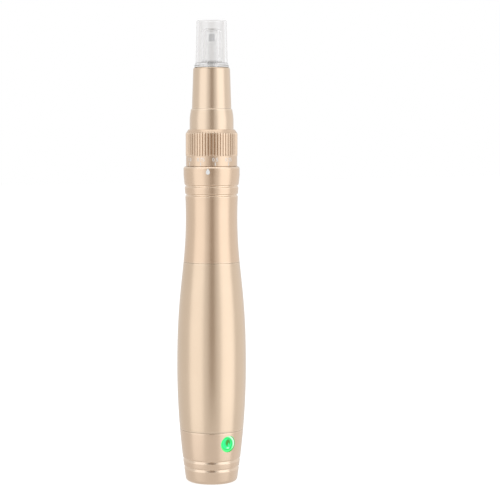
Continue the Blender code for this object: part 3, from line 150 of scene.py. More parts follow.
# Bores and spigots of the shells
TAIL_BORE = FOOT_RADIUS - 1.4 * MM
TAIL_FLOOR = 1.8 * MM
TAIL_SPIGOT_TOP = high("tail_housing")
MAIN_WALL = 1.45 * MM
SPIGOT_WALL = 1.1 * MM
MOUTH_FOOT = high("cell_cap") + SEAT
FRONT_BORE = WAIST_RADIUS - 1.6 * MM
FRONT_SPIGOT_RADIUS = FRONT_BORE + 0.95 * MM
MOUTH_BORE = FRONT_SPIGOT_RADIUS + FIT
NECK_BORE = FRONT_BORE - 0.38 * MM
NECK_RADIUS = NECK_BORE + 0.8 * MM
SHOULDER = FRONT_TOP - 1.5 * MM
RETAINER_DEPTH = 0.45 * MM
O_RING_DEPTH = 0.43 * MM
KEY_TRAVEL = 2.2 * MM
JACK_RADIUS = 3.3 * MM
JACK_BORE = 2.85 * MM
JACK_FLANGE = 1.0 * MM
JACK_FLOOR = 1.2 * MM
JACK_PIN_RADIUS = 1.0 * MM

# Power button
BUTTON_HEIGHT = (low("button_cap") + high("button_cap")) / 2
BUTTON_RADIUS = 2.92 * MM
BUTTON_SINK = 0.65 * MM
BUTTON_FIT = 0.05 * MM
DISH_RADIUS = 2.3 * MM
DISH_DEPTH = 0.5 * MM
# Ovals on the cap's face: the painted shadow of the switch's stem, the lit opening under it, and a painted
# highlight spot.
STEM_SHADOW_MIDDLE = (0.55 * MM, 0.25 * MM)
STEM_SHADOW_HALF = (1.25 * MM, 1.65 * MM)
GLEAM_MIDDLE = (0.85 * MM, -0.85 * MM)
GLEAM_HALF = (0.45 * MM, 1.3 * MM)
HIGHLIGHT_SPOT_MIDDLE = (0.45 * MM, -1.6 * MM)
HIGHLIGHT_SPOT_HALF = (0.75 * MM, 0.4 * MM)
CAP_STEM_RADIUS = 1.1 * MM
CAP_STEM_LENGTH = 0.45 * MM
CAP_FLANGE_HEIGHT = 0.8 * MM
DISH_LIP = 0.1 * MM
DISH_SLOPE = 0.3 * MM
DISH_ROUND = 0.6 * MM

# Depth ring and its print
RING_RADIUS = 9.1 * MM
GRIP_RADIUS = 9.2 * MM
RING_BAND = 3.56 * MM
RING_CROWN = RING_TOP - 1.45 * MM
RING_LIP = 0.25 * MM
FLUTES = 54
FLUTE_DEPTH = 0.3 * MM
FLUTE_STEPS = 14
FLUTE_SHARE = 6 / FLUTE_STEPS
FLUTE_CREST = 0.062 * MM
FLUTE_END = 0.25 * MM
SCALE_MARKS = 10
MARK_PITCH = math.radians(33)
FIRST_MARK = math.radians(-81.9)
POINTER_ANGLE = math.radians(-130.5)
PRINT_THICKNESS = 0.025 * MM
PRINT_SUNK = 0.04 * MM
PRINT_STEP = 0.25 * MM
TICK_WIDTH = 0.26 * MM
TICK_HEIGHT = 1.1 * MM
TICK_RISE = 0.25 * MM
FIGURE_HEIGHT = 1.25 * MM
FIGURE_RISE = 1.75 * MM
POINTER_WIDTH = 1.55 * MM
POINTER_LENGTH = 2.15 * MM
POINTER_RISE = 0.32 * MM
POINTER_SIDES = 48
POINTER_TAPER = 1.2
POINTER_FULLNESS = 1.6
SCALE_STEP = 0.25

# Nose
NOSE_RADIUS = 7.78 * MM
NOSE_FLARE = 3.1 * MM
NOSE_ROUND = 1.1 * MM
NOSE_LIP = 0.3 * MM
NOSE_SHOULDER = NECK_TOP + 2.175 * MM
KEY_SLEEVE_RADIUS = NECK_BORE - RUN
KEY_SLEEVE_BORE = KEY_SLEEVE_RADIUS - 0.75 * MM
CONE_FOOT_RADIUS = 6.98 * MM
CONE_TOP_RADIUS = 6.5 * MM
CONE_SOCKET = 5.25 * MM
CONE_BORE = 3.45 * MM
CONE_SPIGOT_RADIUS = CONE_FOOT_RADIUS - 1.4 * MM
CONE_SPIGOT_FOOT = low("nose_cone")
CONE_FOOT_EDGE = 0.03 * MM
CONE_TOP_ROUND = 0.7 * MM

# Needle cartridge
FLANGE_RADIUS = 6.1 * MM
FLANGE_HEIGHT = 0.75 * MM
BEAD_RADIUS = 5.9 * MM
FLANGE_TOP = FLANGE_FOOT + FLANGE_HEIGHT + 0.62 * MM
TIP_FOOT_RADIUS = 5.65 * MM
TIP_RIM_RADIUS = 5.3 * MM
TIP_WALL = 0.8 * MM
RIM_ROUND = 0.35 * MM
TIP_FLOOR_TOP = FLANGE_FOOT + 1.2 * MM
THREAD_RADIUS = 5.05 * MM
THREAD_ROOT = THREAD_RADIUS - 0.35 * MM
THREAD_PITCH = 1.0 * MM
THREAD_FADE = 0.45 * MM
THREAD_SLOPE = 3.2
THREAD_GAP = 0.3
STEM_RADIUS = 3.1 * MM
STEM_BORE = 2.35 * MM
PLUNGER_RADIUS = 1.22 * MM
PLUNGER_HOLE = PLUNGER_RADIUS + RUN
PLUNGER_BUTTON = 1.35 * MM
PLUNGER_COLLAR = 1.0 * MM
COLLAR_RISE = 1.675 * MM
SLEEVE_BORE = 2.3 * MM
SLEEVE_ROUND = 0.4 * MM
SLEEVE_CROWN = 0.1 * MM
SLEEVE_MOUTH = 0.08 * MM
SLEEVE_LIP = 0.15 * MM
STEM_LIP = 1.0 * MM
SEAL_LIP = 0.35 * MM
SPRING_WIRE = 0.28 * MM
SPRING_RADIUS = (PLUNGER_RADIUS + STEM_BORE) / 2
SPRING_CURLS = 9
END_TURN_PITCH = 1.05
CURL_STEPS = 32
WIRE_SIDES = 12
HEAD_HEIGHT = 1.2 * MM
HEAD_STEP = 0.1 * MM
NEEDLES = 9
NEEDLE_RADIUS = 0.14 * MM
NEEDLE_ROOT = 0.2 * MM
NEEDLE_POINT = 0.8 * MM
NEEDLE_SIDES = 16

# The photograph's camera
FRAME_PIXELS = 500
FOCAL_PIXELS = 1562
AXIS_PIXEL = 211.6
SENSOR = 36.0
CAMERA_TURN = math.radians(-33)
CAMERA_DISTANCE = 556 * MM
CAMERA_HEIGHT = 123.9 * MM
CAMERA_PITCH = math.radians(4.2)


class Flow:
    """A value on its way between shader nodes. Arithmetic on it adds Math nodes."""

    def __init__(self, finish, socket):
        self.finish = finish
        self.socket = socket

    def maths(self, operation, first, second):
        return self.finish.node("ShaderNodeMath", {0: first, 1: second}, operation=operation)

    def __add__(self, other):
        return self.maths("ADD", self, other)

    def __radd__(self, other):
        return self.maths("ADD", other, self)

    def __sub__(self, other):
        return self.maths("SUBTRACT", self, other)

    def __rsub__(self, other):
        return self.maths("SUBTRACT", other, self)

    def __mul__(self, other):
        return self.maths("MULTIPLY", self, other)

    def __rmul__(self, other):
        return self.maths("MULTIPLY", other, self)

    def __truediv__(self, other):
        return self.maths("DIVIDE", self, other)

    def __rtruediv__(self, other):
        return self.maths("DIVIDE", other, self)

    def __pow__(self, other):
        return self.maths("POWER", self, other)

    def __rpow__(self, other):
        return self.maths("POWER", other, self)


class Finish:
    """A surface in the making: a material, its nodes and its main shader."""

    def __init__(self, name, **constants):
        self.material = bpy.data.materials.new(name)
        self.material.use_nodes = True
        self.tree = self.material.node_tree
        self.shader = self.tree.nodes["Principled BSDF"]
        for socket, value in constants.items():
            self.feed(self.shader.inputs[socket.replace("_", " ").title().replace("Ior", "IOR")], value)

    def feed(self, socket, value):
        if isinstance(value, Flow):
            self.tree.links.new(value.socket, socket)
        elif isinstance(value, tuple) and socket.type == "RGBA":
            socket.default_value = (*value, 1)
        else:
            socket.default_value = value

    def node(self, kind, inputs=None, output=0, stops=(), **settings):
        """Any node: its type, its settings, and the values or links of its sockets."""
        made = self.tree.nodes.new(kind)
        for name, value in settings.items():
            setattr(made, name, value)
        for index, (place, colour) in enumerate(stops):
            elements = made.color_ramp.elements
            element = elements[index] if index < 2 else elements.new(place)
            element.position = place
            element.color = (*colour, 1)
        for name, value in (inputs or {}).items():
            self.feed(made.inputs[name], value)
        return Flow(self, made.outputs[output])

    def give(self, socket, value):
        self.feed(self.shader.inputs[socket], value)

    def place(self, scale=(1, 1, 1)):
        """Object coordinates, stretched."""
        raw = self.node("ShaderNodeTexCoord", output="Object")
        return self.node("ShaderNodeMapping", {"Vector": raw, "Scale": scale})

    def noise(self, size, scale=(1, 1, 1), detail=3.0, roughness=0.55):
        """Soft noise whose blobs have about the given size, in metres."""
        inputs = {"Vector": self.place(scale), "Scale": 1 / size, "Detail": detail, "Roughness": roughness}
        return self.node("ShaderNodeTexNoise", inputs)

    def blend(self, factor, first, second):
        inputs = {0: factor, 6: first, 7: second}
        return self.node("ShaderNodeMix", inputs, output=2, data_type="RGBA")

    def ramp(self, factor, *stops):
        return self.node("ShaderNodeValToRGB", {"Fac": factor}, stops=stops)

    def bump(self, height, distance, strength=1.0):
        inputs = {"Height": height, "Distance": distance, "Strength": strength}
        self.give("Normal", self.node("ShaderNodeBump", inputs))

    def mask(self, name):
        return self.node("ShaderNodeAttribute", output="Fac", attribute_name=name)

    def split(self, vector):
        """The three numbers of a vector."""
        made = self.node("ShaderNodeSeparateXYZ", {"Vector": vector}).socket.node
        return [Flow(self, output) for output in made.outputs]


def champagne(name, tint):
    """Bead-blasted, anodised aluminium, with a painted highlight on its small rounded edges and painted
    shade deep in the ring's flutes. Each dye bath gives a tone of its own.
    """

    def tone(*colour):
        return tuple(level * share for level, share in zip(colour, tint))

    finish = Finish(name, metallic=1.0)
    grain = finish.noise(0.16 * MM, detail=2.0)
    cloud = finish.noise(9 * MM, detail=2.0)
    rings = finish.noise(0.35 * MM, scale=(0.02, 0.02, 1), detail=3.0)
    rounded_edge = finish.mask("rounded_edge") ** 4
    sunk = finish.mask("sunk")
    body = finish.blend(cloud, tone(0.602, 0.462, 0.342), tone(0.637, 0.491, 0.366))
    grained = finish.blend(grain * 0.22, body, tone(0.44, 0.324, 0.232))
    # Painted highlight: small rounded edges are lightened towards a pale tone.
    edge_highlit_body = finish.blend(rounded_edge * 0.25, grained, tone(0.84, 0.715, 0.585))
    # Painted shade: the deepest parts of the flutes are darkened towards dark brown.
    finish.give("Base Color", finish.blend(sunk**4 * 0.45, edge_highlit_body, (0.2, 0.125, 0.075)))
    finish.give("Roughness", 0.24 + 0.07 * grain + 0.03 * rings - 0.06 * rounded_edge + 0.15 * sunk)
    finish.bump(grain * 0.7 + rings * 0.3, 0.004 * MM)
    return finish.material


def steel(name, dark, light, smoothest):
    """Stainless steel with fine lengthwise scratches."""
    finish = Finish(name, metallic=1.0)
    scratches = finish.noise(0.08 * MM, scale=(1, 1, 0.05))
    finish.give("Base Color", finish.blend(scratches, dark, light))
    finish.give("Roughness", smoothest + 0.2 * scratches)
    finish.bump(scratches, 0.002 * MM)
    return finish.material


def brass():
    finish = Finish("turned_brass", metallic=1.0)
    rings = finish.noise(0.12 * MM, scale=(0.03, 0.03, 1))
    stain = finish.noise(1.5 * MM)
    turned_brass = finish.blend(rings, (0.68, 0.48, 0.2), (0.82, 0.62, 0.32))
    finish.give("Base Color", finish.blend(stain * 0.4, turned_brass, (0.5, 0.34, 0.14)))
    finish.give("Roughness", 0.24 + 0.2 * rings)
    finish.bump(rings, 0.003 * MM)
    return finish.material


def copper_winding():
    """Enamelled wire laid side by side, with painted shade darkening the colour between the turns."""
    finish = Finish("copper_winding", metallic=1.0)
    inputs = {"Vector": finish.place(), "Scale": 1 / (1.3 * MM), "Distortion": 0.6, "Detail": 1.0}
    wires = finish.node("ShaderNodeTexWave", inputs, bands_direction="Z", wave_type="BANDS")
    # Painted shade: dark bands between the wire's turns.
    finish.give("Base Color", finish.blend(wires, (0.3, 0.1, 0.04), (0.78, 0.36, 0.18)))
    finish.give("Roughness", 0.45 - 0.15 * wires)
    finish.bump(wires, 0.05 * MM)
    return finish.material


def clear_plastic(name, dark, light, edge_shade):
    """Polished clear plastic, slightly hazed along its flow lines, with painted shade that greys its small
    rounded edges.
    """
    finish = Finish(name, transmission_weight=1.0, ior=1.45)
    flow = finish.noise(0.6 * MM, scale=(1, 1, 0.15))
    haze = finish.noise(3 * MM)
    edge = finish.mask("rounded_edge")
    clear = finish.blend(haze, dark, light)
    # Painted shade: small rounded edges are blended towards grey.
    finish.give("Base Color", finish.blend(edge * edge_shade, clear, EDGE_SHADE))
    finish.give("Roughness", 0.02 + 0.05 * flow)
    finish.bump(flow, 0.004 * MM)
    return finish.material


def milky_plastic(name, dark, light, edge_shade, ior):
    """Frosted, nearly clear plastic, with painted shade that greys its small rounded edges."""
    finish = Finish(name, transmission_weight=1.0, ior=ior)
    cloud = finish.noise(1.2 * MM, scale=(1, 1, 0.3))
    grain = finish.noise(0.1 * MM)
    edge = finish.mask("rounded_edge")
    milky = finish.blend(cloud, dark, light)
    # Painted shade: small rounded edges are blended towards grey.
    finish.give("Base Color", finish.blend(edge * edge_shade, milky, EDGE_SHADE))
    finish.give("Roughness", 0.06 + 0.06 * grain)
    finish.bump(grain, 0.003 * MM)
    return finish.material


def white_plastic():
    """White moulded plastic."""
    finish = Finish("white_plastic", ior=1.46)
    cloud = finish.noise(1.2 * MM)
    grain = finish.noise(0.1 * MM)
    finish.give("Base Color", finish.blend(cloud, (0.9, 0.9, 0.89), (0.96, 0.96, 0.95)))
    finish.give("Roughness", 0.3 + 0.15 * grain)
    finish.bump(grain, 0.003 * MM)
    return finish.material


def black_nylon():
    finish = Finish("black_nylon")
    grain = finish.noise(0.09 * MM)
    flow = finish.noise(2.5 * MM, scale=(1, 1, 0.2))
    finish.give("Base Color", finish.blend(flow, (0.012, 0.012, 0.013), (0.03, 0.03, 0.031)))
    finish.give("Roughness", 0.42 + 0.22 * grain)
    finish.bump(grain, 0.006 * MM)
    return finish.material


def silicone():
    finish = Finish("grey_silicone")
    grain = finish.noise(0.07 * MM)
    dust = finish.noise(0.8 * MM)
    finish.give("Base Color", finish.blend(dust, (0.42, 0.42, 0.43), (0.56, 0.56, 0.57)))
    finish.give("Roughness", 0.5 + 0.2 * grain)
    finish.bump(grain, 0.004 * MM)
    return finish.material


def board_laminate():
    """Green solder mask over copper tracks, with pale glass fibre showing at the grain."""
    finish = Finish("solder_mask")
    inputs = {"Vector": finish.place(), "Scale": 1 / (2.2 * MM), "Randomness": 0.4}
    tracks = finish.node("ShaderNodeTexVoronoi", inputs, distance="MANHATTAN", feature="F1")
    weave = finish.noise(0.25 * MM, scale=(1, 1, 0.3))
    lines = finish.ramp(tracks, (0.42, BLACK), (0.47, WHITE))
    mask = finish.blend(weave * 0.3, (0.01, 0.11, 0.045), (0.03, 0.2, 0.09))
    finish.give("Base Color", finish.blend(lines, mask, (0.05, 0.3, 0.12)))
    finish.give("Roughness", 0.25 + 0.2 * weave)
    finish.bump(tracks, 0.02 * MM)
    return finish.material


def cell_wrap():
    """Shrink wrap with faint wrinkles."""
    finish = Finish("cell_wrap", coat_weight=0.4)
    wrinkles = finish.noise(1.8 * MM, scale=(1, 1, 0.25))
    finish.give("Base Color", finish.blend(wrinkles, (0.03, 0.09, 0.36), (0.06, 0.15, 0.5)))
    finish.give("Roughness", 0.25 + 0.15 * wrinkles)
    finish.bump(wrinkles, 0.04 * MM)
    return finish.material


def insulation(name, dark, light):
    """Extruded lead insulation with fine die lines."""
    finish = Finish(name)
    lines = finish.noise(0.12 * MM, scale=(1, 1, 0.1))
    finish.give("Base Color", finish.blend(lines, dark, light))
    finish.give("Roughness", 0.35 + 0.2 * lines)
    finish.bump(lines, 0.006 * MM)
    return finish.material


def white_ink():
    """Pad-printed ink, a little thin in places."""
    finish = Finish("white_ink")
    thin = finish.noise(0.3 * MM)
    finish.give("Base Color", finish.blend(thin * 0.4, (0.86, 0.86, 0.85), (0.72, 0.68, 0.62)))
    finish.give("Roughness", 0.45 + 0.15 * thin)
    finish.bump(thin, 0.004 * MM)
    return finish.material


def oval(across, up, middle, half):
    """0 in the middle of an oval and 1 on its line."""
    aside = (across - middle[0]) / half[0]
    above = (up - middle[1]) / half[1]
    return (aside * aside + above * above) ** 0.5


def lit_button():
    """Translucent green cap lit from behind by its LED, with light and shade painted into the glow: painted
    shade darker in the dish's middle and at its lip, the switch's stem as a darker arch of painted shadow,
    a painted highlight spot low on the cap, and a pale rim that is partly the LED's glow and partly a
    painted highlight, brighter towards the LED's side.
    """
    finish = Finish("lit_green", emission_strength=1.0, specular_ior_level=0.3)
    place = finish.node("ShaderNodeTexCoord", output="Object")
    across, _, height = finish.split(place)
    up = height - BUTTON_HEIGHT
    swirl = finish.noise(0.9 * MM, detail=2.0)
    out = oval(across, up, (0, 0), (BUTTON_RADIUS, BUTTON_RADIUS))
    # Painted shade of the dish: the glow is darker in its middle and at its lip.
    glow = finish.ramp(
        out + 0.1 * swirl,
        (0.0, (0.0, 0.72, 0.14)),
        (0.35, (0.0, 0.86, 0.22)),
        (0.62, (0.03, 0.95, 0.28)),
        (0.78, (0.0, 0.62, 0.1)),
        (0.95, (0.03, 0.92, 0.16)),
    )
    # Painted shadow of the switch's stem: an arch, open at its foot.
    stem_shadow_oval = oval(across, up, STEM_SHADOW_MIDDLE, STEM_SHADOW_HALF)
    opening = oval(across, up, GLEAM_MIDDLE, GLEAM_HALF)
    inside_stem_shadow = finish.ramp(stem_shadow_oval, (0.55, WHITE), (1.1, BLACK))
    stem = inside_stem_shadow * finish.ramp(opening, (0.6, BLACK), (1.1, WHITE))
    # Painted highlight: a pale spot low on the cap.
    highlight_spot = finish.ramp(oval(across, up, HIGHLIGHT_SPOT_MIDDLE, HIGHLIGHT_SPOT_HALF), (0.3, WHITE), (1.1, BLACK))
    # The pale rim is partly the LED's glow, brighter on its side, and partly a painted highlight.
    near_lamp = finish.ramp((across + 0.5 * up) / BUTTON_RADIUS, (0.15, BLACK), (0.85, WHITE))
    rim = finish.ramp(out, (0.72, BLACK), (0.86, WHITE), (0.96, WHITE), (1.0, BLACK))
    shaded = finish.blend(stem * 0.95, glow, (0.04, 0.22, 0.0))
    gleam = highlight_spot * 0.7 + rim * (0.1 + 0.9 * near_lamp)
    finish.give("Emission Color", finish.blend(gleam, shaded, (0.72, 1.0, 0.82)))
    # The painted stem shadow darkens the base colour too.
    finish.give("Base Color", finish.blend(stem * 0.6, (0.01, 0.2, 0.06), (0.02, 0.06, 0.0)))
    finish.give("Roughness", 0.18 + 0.1 * swirl)
    return finish.material


FINISHES = {
    "champagne_aluminium": champagne("champagne_anodised", (1.0, 1.02, 1.02)),
    "stainless_steel": steel("ground_steel", (0.58, 0.58, 0.59), (0.76, 0.76, 0.75), 0.18),
    "brass": brass(),
    "copper_winding": copper_winding(),
    "clear_plastic": clear_plastic("clear_plastic", (0.98, 0.98, 0.98), (0.995, 0.995, 0.995), 0.75),
    "white_plastic": white_plastic(),
    "black_nylon": black_nylon(),
    "silicone": silicone(),
    "lit_button": lit_button(),
    "board_laminate": board_laminate(),
    "cell_wrap": cell_wrap(),
    "red_insulation": insulation("red_insulation", (0.42, 0.012, 0.012), (0.6, 0.03, 0.025)),
    "black_insulation": insulation("black_insulation", (0.01, 0.01, 0.01), (0.03, 0.03, 0.03)),
}
ROSE_CHAMPAGNE = champagne("rose_champagne", (1.015, 1.0, 0.985))
DUSKY_CHAMPAGNE = champagne("dusky_champagne", (1.0, 0.998, 1.005))
PALE_CHAMPAGNE = champagne("pale_champagne", (1.03, 1.06, 1.08))
SMOKY_PLASTIC = clear_plastic("smoky_plastic", (0.865, 0.857, 0.852), (0.895, 0.887, 0.882), 0.1)
MILKY_PLASTIC = milky_plastic("milky_plastic", (0.985, 0.985, 0.98), WHITE, 0, 1.12)
FROSTED_PLASTIC = milky_plastic("frosted_plastic", (0.82, 0.82, 0.81), (0.9, 0.9, 0.89), 0.6, 1.3)
NEEDLE_STEEL = steel("needle_steel", (0.62, 0.62, 0.63), (0.76, 0.76, 0.76), 0.12)
WHITE_INK = white_ink()


def dress_nodes():
    """Every solid that is shown as it is takes the finish of its slot."""
    for subpart in frame["record"]["subparts"]:
        node = NODES[subpart["node"]]
        for slot in node.material_slots:
            slot.material = FINISHES[subpart["material_slot"]]


def dressed(piece, body, slot, *nodes, finish=None):
    """Gives a piece its finish, the body that carries it and the solids that it stands for."""
    piece.data.materials.append(finish or FINISHES[slot])
    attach(piece, body)
    if nodes:
        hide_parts(*nodes)
    return piece


def made(name, shape):
    """A piece from a finished bmesh: welded, facing out and shaded smooth on its round faces."""
    bmesh.ops.remove_doubles(shape, verts=shape.verts, dist=WELD)
    bmesh.ops.recalc_face_normals(shape, faces=shape.faces)
    mesh = bpy.data.meshes.new(name)
    shape.to_mesh(mesh)
    shape.free()
    mesh.shade_smooth()
    mesh.set_sharp_from_angle(angle=SMOOTH_ANGLE)
    piece = bpy.data.objects.new(name, mesh)
    bpy.context.scene.collection.objects.link(piece)
    return piece


def evened(piece):
    """Keeps the reflections on broad faces straight up to their rounded edges."""
    modifier = piece.modifiers.new("even_shading", "WEIGHTED_NORMAL")
    modifier.keep_sharp = True
    return piece


def spun(outline, sides, row=ROW):
    """A bmesh turned about Z from (radius, height, rounding) corners: a sector is spun and copied round."""
    shape = bmesh.new()
    # This layer marks small rounded edges, where the finishes paint a highlight on metal and shade on clear
    # plastic.
    rounded_edge = shape.verts.layers.float.new("rounded_edge")
    corners = [shape.verts.new((corner[0], 0, corner[1])) for corner in outline]
    shape.faces.new(corners)
    rounded = [(corner, point[2]) for corner, point in zip(corners, outline) if len(point) > 2]
    for rounding in sorted({size for corner, size in rounded}):
        bevelled = bmesh.ops.bevel(
            shape,
            geom=[corner for corner, size in rounded if size == rounding],
            offset=rounding,
            affect="VERTICES",
            segments=ROUND_STEPS,
            profile=0.5,
            clamp_overlap=True,
            material=-1,
        )
        for vertex in bevelled["verts"]:
            vertex[rounded_edge] = float(rounding < ROUNDED_EDGE_LIMIT)
    bmesh.ops.delete(shape, geom=shape.faces[:], context="FACES_ONLY")
    on_axis = [edge for edge in shape.edges if max(abs(vertex.co.x) for vertex in edge.verts) < AXIS]
    bmesh.ops.delete(shape, geom=on_axis, context="EDGES")
    for edge in [edge for edge in shape.edges if edge.calc_length() > row]:
        divided = bmesh.ops.subdivide_edges(shape, edges=[edge], cuts=int(edge.calc_length() / row))
        for item in divided["geom_inner"]:
            if isinstance(item, bmesh.types.BMVert):
                item[rounded_edge] = 0.0
    sectors = max(count for count in range(1, math.isqrt(sides) + 1) if sides % count == 0)
    sector = FULL_TURN / sectors
    about_z = {"axis": (0, 0, 1), "cent": (0, 0, 0)}
    profile = shape.verts[:] + shape.edges[:]
    bmesh.ops.spin(shape, geom=profile, angle=sector, steps=sides // sectors, **about_z)
    wedge = shape.verts[:] + shape.edges[:] + shape.faces[:]
    rest = FULL_TURN - sector
    bmesh.ops.spin(shape, geom=wedge, angle=rest, steps=sectors - 1, use_duplicate=True, **about_z)
    bmesh.ops.remove_doubles(shape, verts=shape.verts, dist=WELD)
    return shape


def turned(name, outline, sides, row=ROW):
    return evened(made(name, spun(outline, sides, row)))


def pin_outline(radius, foot, top, edge):
    return [(0, foot), (radius, foot, edge), (radius, top, edge), (0, top)]


def carved(piece, shape):
    """Cuts a shape out of a piece and keeps the result as the piece's own mesh."""
    cutter = made(piece.name + "_cutter", shape)
    modifier = piece.modifiers.new("carve", "BOOLEAN")
    modifier.operation = "DIFFERENCE"
    modifier.object = cutter
    modifier.solver = "EXACT"
    while piece.modifiers[0] != modifier:
        piece.modifiers.remove(piece.modifiers[0])
    depsgraph = bpy.context.evaluated_depsgraph_get()
    mesh = bpy.data.meshes.new_from_object(piece.evaluated_get(depsgraph))
    piece.modifiers.clear()
    piece.data = mesh
    bpy.data.objects.remove(cutter)
    mesh.shade_smooth()
    mesh.set_sharp_from_angle(angle=SMOOTH_ANGLE)
    return evened(piece)


def aimed(shape, height):
    """Turns a shape's Z axis to the way that the button faces, at a height on the pen."""
    turn = Matrix.Rotation(QUARTER_TURN, 3, "X")
    bmesh.ops.rotate(shape, cent=(0, 0, 0), matrix=turn, verts=shape.verts)
    bmesh.ops.translate(shape, vec=(0, 0, height), verts=shape.verts)
    return shape


def smooth(value):
    """Rises softly from 0 to 1."""
    share = min(1.0, max(0.0, value))
    return share * share * (3 - 2 * share)


def swell_radius(height):
    """Radius of the smooth curve between the belly and the waist, found by halving its span."""
    heights = (BELLY_HEIGHT, BELLY_HEIGHT + BELLY_FULLNESS, WAIST_HEIGHT - WAIST_FULLNESS, WAIST_HEIGHT)
    radii = (BELLY_RADIUS, BELLY_RADIUS, WAIST_RADIUS, WAIST_RADIUS)

    def along(values, t):
        a, b, c, d = values
        return a * (1 - t) ** 3 + 3 * b * t * (1 - t) ** 2 + 3 * c * t**2 * (1 - t) + d * t**3

    start, end = 0.0, 1.0
    while end - start > 1e-9:
        middle = (start + end) / 2
        if along(heights, middle) < height:
            start = middle
        else:
            end = middle
    return along(radii, start)


def grip_radius(height):
    """Outer radius of the tail, main and front shells at a height."""
    if height <= BELLY_HEIGHT:
        below = (BELLY_HEIGHT - height) / (BELLY_HEIGHT - FOOT_ROUND)
        return BELLY_RADIUS - (BELLY_RADIUS - FOOT_RADIUS) * below**2
    if height < WAIST_HEIGHT:
        return swell_radius(height)
    if height < COLLAR_FOOT:
        above = (height - WAIST_HEIGHT) / (COLLAR_FOOT - WAIST_HEIGHT)
        return WAIST_RADIUS + (COLLAR_RADIUS - WAIST_RADIUS) * above**2
    return COLLAR_RADIUS


def grip_line(start, end):
    """Corners up the grip's outline."""
    steps = max(1, round((end - start) / ROW))
    heights = [start + (end - start) * step / steps for step in range(steps + 1)]
    return [(grip_radius(height), height) for height in heights]


def edged(corners, first=None, last=None):
    """Rounds the first and the last corner of a line."""
    ends = list(corners)
    if first:
        ends[0] = (*ends[0], first)
    if last:
        ends[-1] = (*ends[-1], last)
    return ends


def groove(height, run):
    """A groove with slanted sides and softened lips, turned into the grip."""
    radius = grip_radius(height) - GROOVE_DEPTH
    start = height - GROOVE_WIDTH / 2
    end = height + GROOVE_WIDTH / 2
    return [
        (grip_radius(start), start, GROOVE_EDGE),
        (radius, start + run, GROOVE_EDGE),
        (radius, end - GROOVE_LIP, GROOVE_EDGE),
        (grip_radius(end), end, GROOVE_EDGE),
    ]


def grooved_line(start, grooves, run, end, first=None, last=None):
    """The grip's outline from one height to another, with grooves on the way."""
    line = []
    for height in grooves:
        line += edged(grip_line(start, height - GROOVE_WIDTH), first)
        line += groove(height, run)
        first = None
        start = height + GROOVE_WIDTH
    return line + edged(grip_line(start, end), first, last)


MAIN_BORE = grip_radius(MAIN_FOOT) - MAIN_WALL
TAIL_SPIGOT_RADIUS = MAIN_BORE - FIT
TAIL_SPIGOT_BORE = TAIL_SPIGOT_RADIUS - SPIGOT_WALL
BUTTON_FACE = grip_radius(BUTTON_HEIGHT)


def tail_shell():
    outline = [(JACK_RADIUS + FIT, 0, ROUND_EDGE), (grip_radius(0), 0, FOOT_ROUND)]
    outline += grooved_line(1.2 * FOOT_ROUND, TAIL_GROOVES, TAIL_GROOVE_RUN, TAIL_TOP, last=SEAM_EDGE)
    outline += [
        (TAIL_SPIGOT_RADIUS, TAIL_TOP),
        (TAIL_SPIGOT_RADIUS, TAIL_SPIGOT_TOP, SEAM_EDGE),
        (TAIL_SPIGOT_BORE, TAIL_SPIGOT_TOP, SEAM_EDGE),
        (TAIL_SPIGOT_BORE, TAIL_TOP),
        (TAIL_BORE, TAIL_TOP),
        (TAIL_BORE, TAIL_FLOOR),
        (JACK_RADIUS + FIT, TAIL_FLOOR),
    ]
    shell = turned("tail_shell", outline, SHELL_SIDES)
    hole = pin_outline(BUTTON_RADIUS + BUTTON_FIT, TAIL_BORE / 2, BELLY_RADIUS + PASS, SEAM_EDGE)
    carved(shell, aimed(spun(hole, SMALL_SIDES), BUTTON_HEIGHT))
    dressed(shell, "root", "champagne_aluminium", "tail_housing", finish=DUSKY_CHAMPAGNE)


def main_shell():
    outline = edged(grip_line(MAIN_FOOT, MAIN_TOP), SEAM_EDGE, SEAM_EDGE)
    outline += [
        (MOUTH_BORE, MAIN_TOP, SEAM_EDGE),
        (MOUTH_BORE, MOUTH_FOOT),
        (MAIN_BORE, MOUTH_FOOT),
        (MAIN_BORE, MAIN_FOOT, SEAM_EDGE),
    ]
    shell = turned("main_shell", outline, SHELL_SIDES)
    dressed(shell, "root", "champagne_aluminium", "main_barrel")


def neck_groove(node, depth):
    """A groove in the neck for the ring that sits there."""
    start = low(node) - FIT
    end = high(node) + FIT
    bottom = NECK_RADIUS - depth
    return [(NECK_RADIUS, start), (bottom, start), (bottom, end), (NECK_RADIUS, end)]


